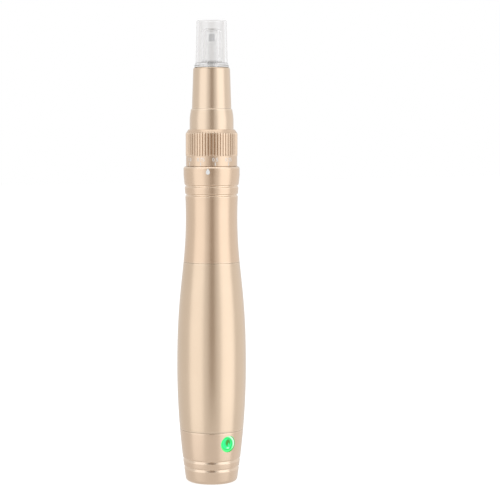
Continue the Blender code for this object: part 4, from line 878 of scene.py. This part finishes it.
def front_shell():
    foot = low("front_barrel")
    outline = [(FRONT_SPIGOT_RADIUS, foot, SEAM_EDGE), (FRONT_SPIGOT_RADIUS, FRONT_FOOT)]
    outline += grooved_line(FRONT_FOOT, COLLAR_GROOVES, COLLAR_GROOVE_RUN, COLLAR_FOOT, first=SEAM_EDGE)
    outline += [
        (COLLAR_RADIUS, FRONT_TOP - COLLAR_CHAMFER, SEAM_EDGE),
        (COLLAR_RADIUS - COLLAR_CHAMFER, FRONT_TOP, SEAM_EDGE),
        (NECK_RADIUS, FRONT_TOP),
    ]
    outline += neck_groove("ring_retainer", RETAINER_DEPTH)
    outline += neck_groove("ring_drag_o_ring", O_RING_DEPTH)
    outline += [
        (NECK_RADIUS, NECK_TOP, SEAM_EDGE),
        (NECK_BORE, NECK_TOP, SEAM_EDGE),
        (NECK_BORE, SHOULDER),
        (FRONT_BORE, SHOULDER),
        (FRONT_BORE, foot, SEAM_EDGE),
    ]
    shell = turned("front_shell", outline, SHELL_SIDES)
    pin_low, pin_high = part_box("nose_key_pin_right")
    slot_foot = pin_low.z - KEY_TRAVEL
    slots = bmesh.new()
    bmesh.ops.create_cube(slots, size=1)
    slot_height = NECK_TOP + PASS - slot_foot
    slot_width = pin_high.y - pin_low.y + 2 * FIT
    bmesh.ops.scale(slots, vec=(2 * NECK_RADIUS + RUN, slot_width, slot_height), verts=slots.verts)
    bmesh.ops.translate(slots, vec=(0, 0, slot_foot + slot_height / 2), verts=slots.verts)
    carved(shell, slots)
    dressed(shell, "root", "champagne_aluminium", "front_barrel", finish=ROSE_CHAMPAGNE)


def flute_depth(angle):
    """How deep the fluting is at an angle round the ring: V-shaped grooves between rounded crests."""
    aside = abs((angle / FULL_TURN * FLUTES) % 1 - 0.5)
    crest = FLUTE_CREST * (1 - 2 * aside) ** 2
    return max(crest, FLUTE_DEPTH * (1 - 2 * aside / FLUTE_SHARE))


def fluted_ring():
    bore = NECK_RADIUS + RUN
    thread_bore = NOSE_RADIUS + RUN
    counterbore = NECK_TOP + SEAT
    flute_foot = RING_FOOT + RING_BAND
    retainer_radius = bore + RETAINER_DEPTH
    outline = [
        (RING_RADIUS, RING_FOOT, RING_EDGE),
        (RING_RADIUS, flute_foot),
        (GRIP_RADIUS, flute_foot + (GRIP_RADIUS - RING_RADIUS), LIP_EDGE),
        (GRIP_RADIUS, RING_CROWN, SOFT_EDGE),
        (thread_bore + RING_LIP, RING_TOP, SOFT_EDGE),
        (thread_bore, RING_TOP, FINE_EDGE),
        (thread_bore, counterbore),
        (bore, counterbore),
        (bore, high("ring_retainer") + FIT),
        (retainer_radius, high("ring_retainer") + FIT),
        (retainer_radius, low("ring_retainer") - FIT),
        (bore, low("ring_retainer") - FIT),
        (bore, RING_FOOT, RING_EDGE),
    ]
    shape = spun(outline, FLUTES * FLUTE_STEPS, RING_ROW)
    sunk = shape.verts.layers.float.new("sunk")
    for vertex in shape.verts:
        radius = vertex.co.xy.length
        rise = vertex.co.z - flute_foot
        if rise > 0 and radius > thread_bore + AXIS:
            depth = flute_depth(math.atan2(vertex.co.y, vertex.co.x)) * smooth(rise / FLUTE_END)
            moved = min(radius, GRIP_RADIUS - depth)
            # Stores how deep the point lies in its flute, for the painted shade there.
            vertex[sunk] = (radius - moved) / FLUTE_DEPTH
            vertex.co.xy *= moved / radius
    ring = evened(made("fluted_ring", shape))
    dressed(ring, "depth_ring", "champagne_aluminium", "depth_ring", finish=ROSE_CHAMPAGNE)


def wrapped(name, shape, radius):
    """Rolls a flat drawing round the pen: X is the way round at that radius, and Y the height."""
    start = min(vertex.co.x for vertex in shape.verts)
    end = max(vertex.co.x for vertex in shape.verts)
    for step in range(1, int((end - start) / PRINT_STEP) + 1):
        drawing = shape.verts[:] + shape.edges[:] + shape.faces[:]
        cut = (start + PRINT_STEP * step, 0, 0)
        bmesh.ops.bisect_plane(shape, geom=drawing, plane_co=cut, plane_no=(1, 0, 0))
    lifted = bmesh.ops.extrude_face_region(shape, geom=shape.faces[:])["geom"]
    raised = {item for item in lifted if isinstance(item, bmesh.types.BMVert)}
    for vertex in shape.verts:
        angle = vertex.co.x / radius
        layer = PRINT_THICKNESS if vertex in raised else -PRINT_SUNK
        out = radius + layer
        vertex.co = (out * math.cos(angle), out * math.sin(angle), vertex.co.y)
    piece = made(name, shape)
    piece.data.materials.append(WHITE_INK)
    return piece


def lettered(text):
    """A flat mesh of some figures, one unit high, centred over the origin."""
    curve = bpy.data.curves.new("figures", "FONT")
    curve.body = text
    curve.align_x = "CENTER"
    curve.resolution_u = 4
    holder = bpy.data.objects.new("figures", curve)
    bpy.context.scene.collection.objects.link(holder)
    depsgraph = bpy.context.evaluated_depsgraph_get()
    mesh = bpy.data.meshes.new_from_object(holder.evaluated_get(depsgraph))
    bpy.data.objects.remove(holder)
    tall = max(vertex.co.y for vertex in mesh.vertices)
    mesh.transform(Matrix.Scale(1 / tall, 4))
    return mesh


def depth_scale():
    """Ten ticks and their settings in millimetres, printed on the ring's band."""
    ticks = bmesh.new()
    figures = bmesh.new()
    for mark in range(SCALE_MARKS):
        round_way = (FIRST_MARK - MARK_PITCH * mark) * RING_RADIUS
        tick = bmesh.ops.create_grid(ticks, x_segments=1, y_segments=1, size=0.5)["verts"]
        bmesh.ops.scale(ticks, vec=(TICK_WIDTH, TICK_HEIGHT, 1), verts=tick)
        middle = RING_FOOT + TICK_RISE + TICK_HEIGHT / 2
        bmesh.ops.translate(ticks, vec=(round_way, middle, 0), verts=tick)
        setting = SCALE_STEP * (mark + 1)
        mesh = lettered(f"{setting:.2f}".rstrip("0") if setting % 1 else f"{setting:.1f}")
        mesh.transform(Matrix.Scale(FIGURE_HEIGHT, 4))
        mesh.transform(Matrix.Translation((round_way, RING_FOOT + FIGURE_RISE, 0)))
        figures.from_mesh(mesh)
        bpy.data.meshes.remove(mesh)
    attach(wrapped("scale_ticks", ticks, RING_RADIUS), "depth_ring")
    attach(wrapped("scale_figures", figures, RING_RADIUS), "depth_ring")


def collar_pointer():
    """A drop-shaped mark on the collar, point upwards, that the scale is read against."""
    drop = bmesh.new()
    bmesh.ops.create_circle(drop, cap_ends=True, segments=POINTER_SIDES, radius=1)
    for vertex in drop.verts:
        angle = math.atan2(vertex.co.x, vertex.co.y)
        narrowing = abs(math.sin(angle / 2)) ** POINTER_TAPER
        vertex.co.x *= narrowing * POINTER_WIDTH / POINTER_FULLNESS
        vertex.co.y *= POINTER_LENGTH / 2
    middle = COLLAR_FOOT + POINTER_RISE + POINTER_LENGTH / 2
    bmesh.ops.translate(drop, vec=(POINTER_ANGLE * COLLAR_RADIUS, middle, 0), verts=drop.verts)
    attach(wrapped("collar_pointer", drop, COLLAR_RADIUS), "root")


def nose():
    spigot_bore = CONE_SPIGOT_RADIUS + FIT
    ledge = CONE_SPIGOT_FOOT - SEAT
    outline = [
        (KEY_SLEEVE_RADIUS, low("nose_base"), SEAM_EDGE),
        (KEY_SLEEVE_RADIUS, NOSE_SHOULDER),
        (NOSE_RADIUS, NOSE_SHOULDER, SEAM_EDGE),
        (NOSE_RADIUS, NOSE_TOP - NOSE_FLARE, NOSE_ROUND),
        (CONE_FOOT_RADIUS + NOSE_LIP + LIP_EDGE, NOSE_TOP - NOSE_LIP, SEAM_EDGE),
        (CONE_FOOT_RADIUS + CONE_FOOT_EDGE, NOSE_TOP),
        (spigot_bore, NOSE_TOP, SEAM_EDGE),
        (spigot_bore, ledge),
        (KEY_SLEEVE_BORE, ledge),
        (KEY_SLEEVE_BORE, low("nose_base"), SEAM_EDGE),
    ]
    base = turned("nose_collar", outline, SHELL_SIDES)
    pin_low, pin_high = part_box("nose_key_pin_right")
    hole_radius = (pin_high.z - pin_low.z + FIT) / 2
    hole = spun(pin_outline(hole_radius, -NECK_RADIUS, NECK_RADIUS, SEAM_EDGE), PIN_SIDES)
    sideways = Matrix.Rotation(QUARTER_TURN, 3, "Y")
    bmesh.ops.rotate(hole, cent=(0, 0, 0), matrix=sideways, verts=hole.verts)
    bmesh.ops.translate(hole, vec=(0, 0, (pin_low.z + pin_high.z) / 2), verts=hole.verts)
    carved(base, hole)
    dressed(base, "nose", "champagne_aluminium", "nose_base", finish=PALE_CHAMPAGNE)
    socket_foot = THREAD_FOOT - SEAT
    outline = [
        (CONE_SPIGOT_RADIUS, CONE_SPIGOT_FOOT, SEAM_EDGE),
        (CONE_SPIGOT_RADIUS, CONE_FOOT),
        (CONE_FOOT_RADIUS, CONE_FOOT, CONE_FOOT_EDGE),
        (CONE_TOP_RADIUS, CONE_TOP, CONE_TOP_ROUND),
        (CONE_SOCKET, CONE_TOP, ROUND_EDGE),
        (CONE_SOCKET, socket_foot),
        (CONE_BORE, socket_foot, SEAM_EDGE),
        (CONE_BORE, CONE_SPIGOT_FOOT, SEAM_EDGE),
    ]
    cone = turned("nose_cone_shell", outline, SHELL_SIDES)
    dressed(cone, "nose", "champagne_aluminium", "nose_cone", finish=PALE_CHAMPAGNE)


def thread_height(angle, height):
    """How far the cartridge's thread stands out at a place: one helix with sloping sides."""
    turn = ((height - THREAD_FOOT) / THREAD_PITCH - angle / FULL_TURN) % 1
    flank = smooth(THREAD_SLOPE * (0.5 - abs(turn - 0.5)) - THREAD_GAP)
    fade = smooth((height - THREAD_FOOT) / THREAD_FADE) * smooth((FLANGE_FOOT - height) / THREAD_FADE)
    return (THREAD_RADIUS - THREAD_ROOT) * flank * fade


def clear_cup():
    socket = STEM_RADIUS + FIT
    outline = [
        (socket, THREAD_FOOT, SEAM_EDGE),
        (THREAD_ROOT, THREAD_FOOT, SOFT_EDGE),
        (THREAD_ROOT, FLANGE_FOOT),
        (FLANGE_RADIUS, FLANGE_FOOT, SEAM_EDGE),
        (FLANGE_RADIUS, FLANGE_FOOT + FLANGE_HEIGHT, SOFT_EDGE),
        (BEAD_RADIUS, FLANGE_FOOT + FLANGE_HEIGHT, LIP_EDGE),
        (BEAD_RADIUS, FLANGE_TOP, SOFT_EDGE),
        (TIP_FOOT_RADIUS, FLANGE_TOP, FINE_EDGE),
        (TIP_RIM_RADIUS, RIM, RIM_ROUND),
        (TIP_RIM_RADIUS - TIP_WALL, RIM, ROUND_EDGE),
        (TIP_FOOT_RADIUS - TIP_WALL, TIP_FLOOR_TOP, BROAD_EDGE),
        (PLUNGER_HOLE, TIP_FLOOR_TOP, SEAM_EDGE),
        (PLUNGER_HOLE, FLANGE_FOOT, SEAM_EDGE),
        (socket, FLANGE_FOOT),
    ]
    shape = spun(outline, CUP_SIDES, FINE_ROW)
    for vertex in shape.verts:
        radius = vertex.co.xy.length
        if abs(radius - THREAD_ROOT) < AXIS and vertex.co.z < FLANGE_FOOT:
            stand = thread_height(math.atan2(vertex.co.y, vertex.co.x), vertex.co.z)
            vertex.co.xy *= (radius + stand) / radius
    cup = evened(made("clear_cup", shape))
    dressed(cup, "cartridge", "clear_plastic", "cartridge_tip", finish=SMOKY_PLASTIC)


def clear_sleeve():
    foot = low("cartridge_inner_sleeve")
    top = high("cartridge_inner_sleeve")
    radius = reach("cartridge_inner_sleeve")
    outline = [
        (radius, foot, ROUND_EDGE),
        (radius, top - SLEEVE_ROUND, SLEEVE_ROUND),
        (SLEEVE_BORE + 2 * SLEEVE_CROWN, top - SLEEVE_CROWN),
        (SLEEVE_BORE, top, SLEEVE_MOUTH),
        (SLEEVE_BORE - SLEEVE_LIP, top - 2 * SLEEVE_LIP, FINE_EDGE),
        (SLEEVE_BORE, foot, ROUND_EDGE),
    ]
    sleeve = turned("clear_sleeve", outline, CUP_SIDES)
    dressed(sleeve, "cartridge", "clear_plastic", "cartridge_inner_sleeve")


def clear_stem():
    foot = low("cartridge_stem")
    top = high("cartridge_stem")
    outline = [
        (STEM_RADIUS, foot, ROUND_EDGE),
        (STEM_RADIUS, top, SEAM_EDGE),
        (STEM_BORE, top, SEAM_EDGE),
        (STEM_BORE, foot + STEM_LIP, SOFT_EDGE),
        (PLUNGER_HOLE, foot + STEM_LIP, FINE_EDGE),
        (PLUNGER_HOLE, foot, FINE_EDGE),
    ]
    stem = turned("clear_stem", outline, SMALL_SIDES)
    dressed(stem, "cartridge", "clear_plastic", "cartridge_stem")


def lip_seal():
    """A seal that wipes the plunger with its upper lip, hollow below for the spring's end."""
    foot = low("cartridge_seal")
    top = high("cartridge_seal")
    pocket = SPRING_RADIUS + SPRING_WIRE / 2 + RUN
    outline = [
        (STEM_RADIUS, foot, SOFT_EDGE),
        (STEM_RADIUS, top, SOFT_EDGE),
        (PLUNGER_HOLE, top, SEAM_EDGE),
        (PLUNGER_HOLE, top - SEAL_LIP, SEAM_EDGE),
        (pocket, top - SEAL_LIP, FINE_EDGE),
        (pocket, foot, SEAM_EDGE),
    ]
    seal = turned("stem_seal", outline, SMALL_SIDES)
    dressed(seal, "cartridge", "silicone", "cartridge_seal")


def coil_spring():
    """A compression spring on the plunger's collar: open curls between two closed end turns."""
    foot = low("cartridge_spring")
    top = high("cartridge_spring")
    shape = bmesh.new()
    bmesh.ops.create_circle(shape, cap_ends=True, segments=WIRE_SIDES, radius=SPRING_WIRE / 2)
    upright = Matrix.Rotation(QUARTER_TURN, 3, "X")
    bmesh.ops.rotate(shape, cent=(0, 0, 0), matrix=upright, verts=shape.verts)
    bmesh.ops.translate(shape, vec=(SPRING_RADIUS, 0, foot + SPRING_WIRE / 2), verts=shape.verts)
    end_pitch = END_TURN_PITCH * SPRING_WIRE
    open_pitch = (top - foot - SPRING_WIRE - 2 * end_pitch) / SPRING_CURLS
    section = shape.verts[:] + shape.edges[:] + shape.faces[:]
    for curls, pitch in ((1, end_pitch), (SPRING_CURLS, open_pitch), (1, end_pitch)):
        steps = curls * CURL_STEPS
        swept = bmesh.ops.spin(
            shape,
            geom=section,
            axis=(0, 0, 1),
            cent=(0, 0, 0),
            dvec=(0, 0, pitch / CURL_STEPS),
            angle=FULL_TURN * curls,
            steps=steps,
        )
        section = swept["geom_last"]
    spring = made("coil_spring", shape)
    dressed(spring, "needle_carriage", "stainless_steel", "cartridge_spring")
    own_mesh(spring)


def needle_carriage():
    foot = low("plunger_rod")
    button_radius = reach("plunger_rod")
    collar_foot = low("cartridge_stem") + COLLAR_RISE
    collar_top = collar_foot + PLUNGER_COLLAR
    collar_radius = STEM_BORE - RUN
    carrier_foot = low("needle_carrier")
    carrier_top = high("needle_carrier")
    outline = [
        (0, foot),
        (button_radius, foot, FULL_EDGE),
        (button_radius, foot + PLUNGER_BUTTON, FULL_EDGE),
        (PLUNGER_RADIUS, foot + PLUNGER_BUTTON, FINE_EDGE),
        (PLUNGER_RADIUS, collar_foot),
        (collar_radius, collar_foot, FINE_EDGE),
        (collar_radius, collar_top, FINE_EDGE),
        (PLUNGER_RADIUS, collar_top),
        (PLUNGER_RADIUS, carrier_foot - SEAM, SEAM_EDGE),
        (0, carrier_foot - SEAM),
    ]
    plunger = turned("plunger", outline, SMALL_SIDES)
    dressed(plunger, "needle_carriage", "white_plastic", "plunger_rod", finish=FROSTED_PLASTIC)
    head_radius = reach("needle_carrier")
    outline = [
        (0, carrier_foot),
        (head_radius - HEAD_STEP, carrier_foot, SEAM_EDGE),
        (head_radius - HEAD_STEP, carrier_top - HEAD_HEIGHT),
        (head_radius, carrier_top - HEAD_HEIGHT, SEAM_EDGE),
        (head_radius, carrier_top, SOFT_EDGE),
        (0, carrier_top),
    ]
    holder = turned("needle_holder", outline, SMALL_SIDES)
    dressed(holder, "needle_carriage", "white_plastic", "needle_carrier", finish=MILKY_PLASTIC)
    for number in range(1, NEEDLES + 1):
        node = f"needle_{number:02d}"
        start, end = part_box(node)
        centre = (start + end) / 2
        outline = [
            (0, carrier_top - NEEDLE_ROOT),
            (NEEDLE_RADIUS, carrier_top - NEEDLE_ROOT),
            (NEEDLE_RADIUS, end.z - NEEDLE_POINT, FINE_EDGE),
            (0, end.z),
        ]
        shape = spun(outline, NEEDLE_SIDES)
        bmesh.ops.translate(shape, vec=(centre.x, centre.y, 0), verts=shape.verts)
        needle = made(f"steel_{node}", shape)
        dressed(needle, "needle_carriage", "stainless_steel", node, finish=NEEDLE_STEEL)


def lit_cap():
    """The button: a shallow dish with a rounded rim, over a flange that keeps it in."""
    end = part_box("button_cap")[1]
    stem_foot = -end.y
    flange_radius = end.x
    flange_foot = stem_foot + CAP_STEM_LENGTH
    flange_top = flange_foot + CAP_FLANGE_HEIGHT
    rim = BUTTON_FACE - BUTTON_SINK
    dish_floor = rim - DISH_DEPTH
    outline = [
        (0, stem_foot),
        (CAP_STEM_RADIUS, stem_foot, FINE_EDGE),
        (CAP_STEM_RADIUS, flange_foot),
        (flange_radius, flange_foot, FINE_EDGE),
        (flange_radius, flange_top, FINE_EDGE),
        (BUTTON_RADIUS, flange_top),
        (BUTTON_RADIUS, rim, FULL_EDGE),
        (DISH_RADIUS, rim - DISH_LIP, SOFT_EDGE),
        (DISH_RADIUS - DISH_SLOPE, dish_floor, DISH_ROUND),
        (0, dish_floor - DISH_LIP),
    ]
    cap = evened(made("lit_cap", aimed(spun(outline, SMALL_SIDES, FINE_ROW), BUTTON_HEIGHT)))
    dressed(cap, "power_button", "lit_button", "button_cap")


def charging_inlet():
    foot = low("charge_jack")
    top = high("charge_jack")
    body = JACK_RADIUS + JACK_FLANGE
    flange_foot = TAIL_FLOOR + SEAT
    pin_hole = JACK_PIN_RADIUS + FIT
    outline = [
        (JACK_RADIUS, foot, RING_EDGE),
        (JACK_RADIUS, flange_foot),
        (body, flange_foot, FINE_EDGE),
        (body, top, ROUND_EDGE),
        (pin_hole, top),
        (pin_hole, top - JACK_FLOOR),
        (JACK_BORE, top - JACK_FLOOR),
        (JACK_BORE, foot, ROUND_EDGE),
    ]
    jack = turned("inlet_body", outline, SMALL_SIDES)
    dressed(jack, "root", "black_nylon", "charge_jack")
    pin_foot = low("charge_jack_pin")
    outline = pin_outline(JACK_PIN_RADIUS, pin_foot, high("charge_jack_pin"), BROAD_EDGE)
    pin = turned("inlet_pin", outline, PIN_SIDES)
    dressed(pin, "root", "brass", "charge_jack_pin")


# Stage: floor, world, lamps and camera
def seen_directly(tree):
    """1 for rays from the camera, and for what metal and clear plastic show."""
    path = tree.nodes.new("ShaderNodeLightPath")
    total = path.outputs["Is Camera Ray"]
    for name in ("Is Glossy Ray", "Is Transmission Ray"):
        add = tree.nodes.new("ShaderNodeMath")
        add.operation = "MAXIMUM"
        tree.links.new(total, add.inputs[0])
        tree.links.new(path.outputs[name], add.inputs[1])
        total = add.outputs[0]
    return total


LAMP_TINT = (0.95, 1.0, 1.06)
CARD_TINT = (1.0, 0.85, 0.72)
WORLD_LEVEL = 0.7
FLOOR_GLOW = 0.8
FLOOR_SIZE = 3.0
FLOOR_DROP = 0.02 * MM
FLOOR_PALE = (0.8, 0.8, 0.8, 1)
FLOOR_SHADE = (0.4, 0.4, 0.4, 1)
SIDE_DISTANCE = 0.62
CARD_DISTANCE = 0.7
CARD_MIDDLE = 0.4
CARD_HEIGHT = 1.1


def surroundings():
    """A white surround, dimmer as a source of light than it looks."""
    world = bpy.data.worlds.new("white_surround")
    bpy.context.scene.world = world
    world.use_nodes = True
    tree = world.node_tree
    tree.nodes.clear()
    light = tree.nodes.new("ShaderNodeBackground")
    light.inputs["Color"].default_value = (*WHITE, 1)
    light.inputs["Strength"].default_value = WORLD_LEVEL
    white = tree.nodes.new("ShaderNodeBackground")
    white.inputs["Color"].default_value = (*WHITE, 1)
    white.inputs["Strength"].default_value = 1.0
    mix = tree.nodes.new("ShaderNodeMixShader")
    output = tree.nodes.new("ShaderNodeOutputWorld")
    tree.links.new(seen_directly(tree), mix.inputs[0])
    tree.links.new(light.outputs[0], mix.inputs[1])
    tree.links.new(white.outputs[0], mix.inputs[2])
    tree.links.new(mix.outputs[0], output.inputs["Surface"])


def floor():
    """A pale floor that looks white and keeps a faint shadow."""
    shape = bmesh.new()
    bmesh.ops.create_grid(shape, x_segments=1, y_segments=1, size=FLOOR_SIZE)
    bmesh.ops.translate(shape, vec=(0, 0, -FLOOR_DROP), verts=shape.verts)
    plane = made("floor", shape)
    material = bpy.data.materials.new("pale_floor")
    material.use_nodes = True
    tree = material.node_tree
    tree.nodes.clear()
    pale = tree.nodes.new("ShaderNodeBsdfDiffuse")
    pale.inputs["Color"].default_value = FLOOR_PALE
    shade = tree.nodes.new("ShaderNodeBsdfDiffuse")
    shade.inputs["Color"].default_value = FLOOR_SHADE
    glow = tree.nodes.new("ShaderNodeEmission")
    glow.inputs["Strength"].default_value = FLOOR_GLOW
    add = tree.nodes.new("ShaderNodeAddShader")
    mix = tree.nodes.new("ShaderNodeMixShader")
    output = tree.nodes.new("ShaderNodeOutputMaterial")
    tree.links.new(shade.outputs[0], add.inputs[0])
    tree.links.new(glow.outputs[0], add.inputs[1])
    tree.links.new(seen_directly(tree), mix.inputs[0])
    tree.links.new(pale.outputs[0], mix.inputs[1])
    tree.links.new(add.outputs[0], mix.inputs[2])
    tree.links.new(mix.outputs[0], output.inputs["Surface"])
    plane.data.materials.append(material)
    plane.visible_glossy = False


def out_from(turn, distance, height):
    """A place round the pen, at an angle from the camera's side, positive to the right."""
    angle = CAMERA_TURN + math.radians(turn)
    return Vector((math.sin(angle) * distance, -math.cos(angle) * distance, height))


def softbox(name, width, tall, radiance, place, turn):
    """An even white panel of light, sized and turned before it is put in its place."""
    lamp = bpy.data.lights.new(name, "AREA")
    lamp.shape = "RECTANGLE"
    lamp.size = width
    lamp.size_y = tall
    lamp.energy = radiance * math.pi * width * tall
    lamp.color = LAMP_TINT
    holder = bpy.data.objects.new(name, lamp)
    bpy.context.scene.collection.objects.link(holder)
    holder.location = place
    holder.rotation_euler = turn


def side_light(name, turn, height, width, tall, radiance):
    """A softbox beside the pen."""
    upright = (QUARTER_TURN, 0, CAMERA_TURN + math.radians(turn))
    softbox(name, width, tall, radiance, out_from(turn, SIDE_DISTANCE, height), upright)


def top_light(name, height, width, depth, radiance):
    """A softbox straight above the pen."""
    softbox(name, width, depth, radiance, (0, 0, height), (0, 0, CAMERA_TURN))


def card(width, tall, facing, place):
    """A flat sheet, turned and put in its place."""
    shape = bmesh.new()
    bmesh.ops.create_grid(shape, x_segments=1, y_segments=1, size=0.5)
    bmesh.ops.scale(shape, vec=(width, tall, 1), verts=shape.verts)
    bmesh.ops.rotate(shape, cent=(0, 0, 0), matrix=facing, verts=shape.verts)
    bmesh.ops.translate(shape, vec=place, verts=shape.verts)
    return shape


def dark_card(name, turn, width, level):
    """A tall, upright brown card that gives the metal a dark strip."""
    upright = Matrix.Rotation(QUARTER_TURN, 3, "X")
    facing = Matrix.Rotation(CAMERA_TURN + math.radians(turn), 3, "Z") @ upright
    place = out_from(turn, CARD_DISTANCE, CARD_MIDDLE)
    darkened(name, card(width, CARD_HEIGHT, facing, place), level)


def darkened(name, shape, level):
    """Makes a shape a dim brown card that is seen in reflections alone."""
    sheet = made(name, shape)
    material = bpy.data.materials.new(name)
    material.use_nodes = True
    shader = material.node_tree.nodes["Principled BSDF"]
    shader.inputs["Base Color"].default_value = (*BLACK, 1)
    shader.inputs["Specular IOR Level"].default_value = 0
    shader.inputs["Emission Color"].default_value = (*CARD_TINT, 1)
    shader.inputs["Emission Strength"].default_value = level
    sheet.data.materials.append(material)
    sheet.visible_camera = False
    sheet.visible_diffuse = False
    sheet.visible_transmission = False
    sheet.visible_shadow = False


def overhead_card(name, forward, height, width, depth, level):
    """The same kind of card, flat above the pen and towards the camera."""
    facing = Matrix.Rotation(CAMERA_TURN, 3, "Z")
    darkened(name, card(width, depth, facing, out_from(0, forward, height)), level)


def studio():
    surroundings()
    floor()
    side_light("left_softbox", turn=-53, height=0.185, width=0.58, tall=0.93, radiance=0.62)
    side_light("right_softbox", turn=57, height=0.185, width=0.58, tall=0.93, radiance=0.82)
    side_light("right_fill", turn=120, height=0.2, width=0.5, tall=1.0, radiance=0.12)
    top_light("top_softbox", height=0.75, width=0.8, depth=0.74, radiance=0.7)
    dark_card("front_gap", turn=2, width=0.26, level=0.44)
    dark_card("back_gap", turn=180, width=0.26, level=0.44)
    overhead_card("top_gap", forward=0.66, height=0.75, width=0.6, depth=0.58, level=0.02)


def camera():
    data = bpy.data.cameras.new("camera")
    data.sensor_width = SENSOR
    data.lens = SENSOR * FOCAL_PIXELS / FRAME_PIXELS
    data.shift_x = 0.5 - AXIS_PIXEL / FRAME_PIXELS
    holder = bpy.data.objects.new("camera", data)
    bpy.context.scene.collection.objects.link(holder)
    holder.location = out_from(0, CAMERA_DISTANCE, CAMERA_HEIGHT)
    holder.rotation_euler = (QUARTER_TURN - CAMERA_PITCH, 0, CAMERA_TURN)
    bpy.context.scene.camera = holder


dress_nodes()
tail_shell()
main_shell()
front_shell()
fluted_ring()
depth_scale()
collar_pointer()
nose()
clear_cup()
clear_sleeve()
clear_stem()
lip_seal()
coil_spring()
needle_carriage()
lit_cap()
charging_inlet()
studio()
camera()
bpy.context.scene.view_settings.view_transform = "Standard"
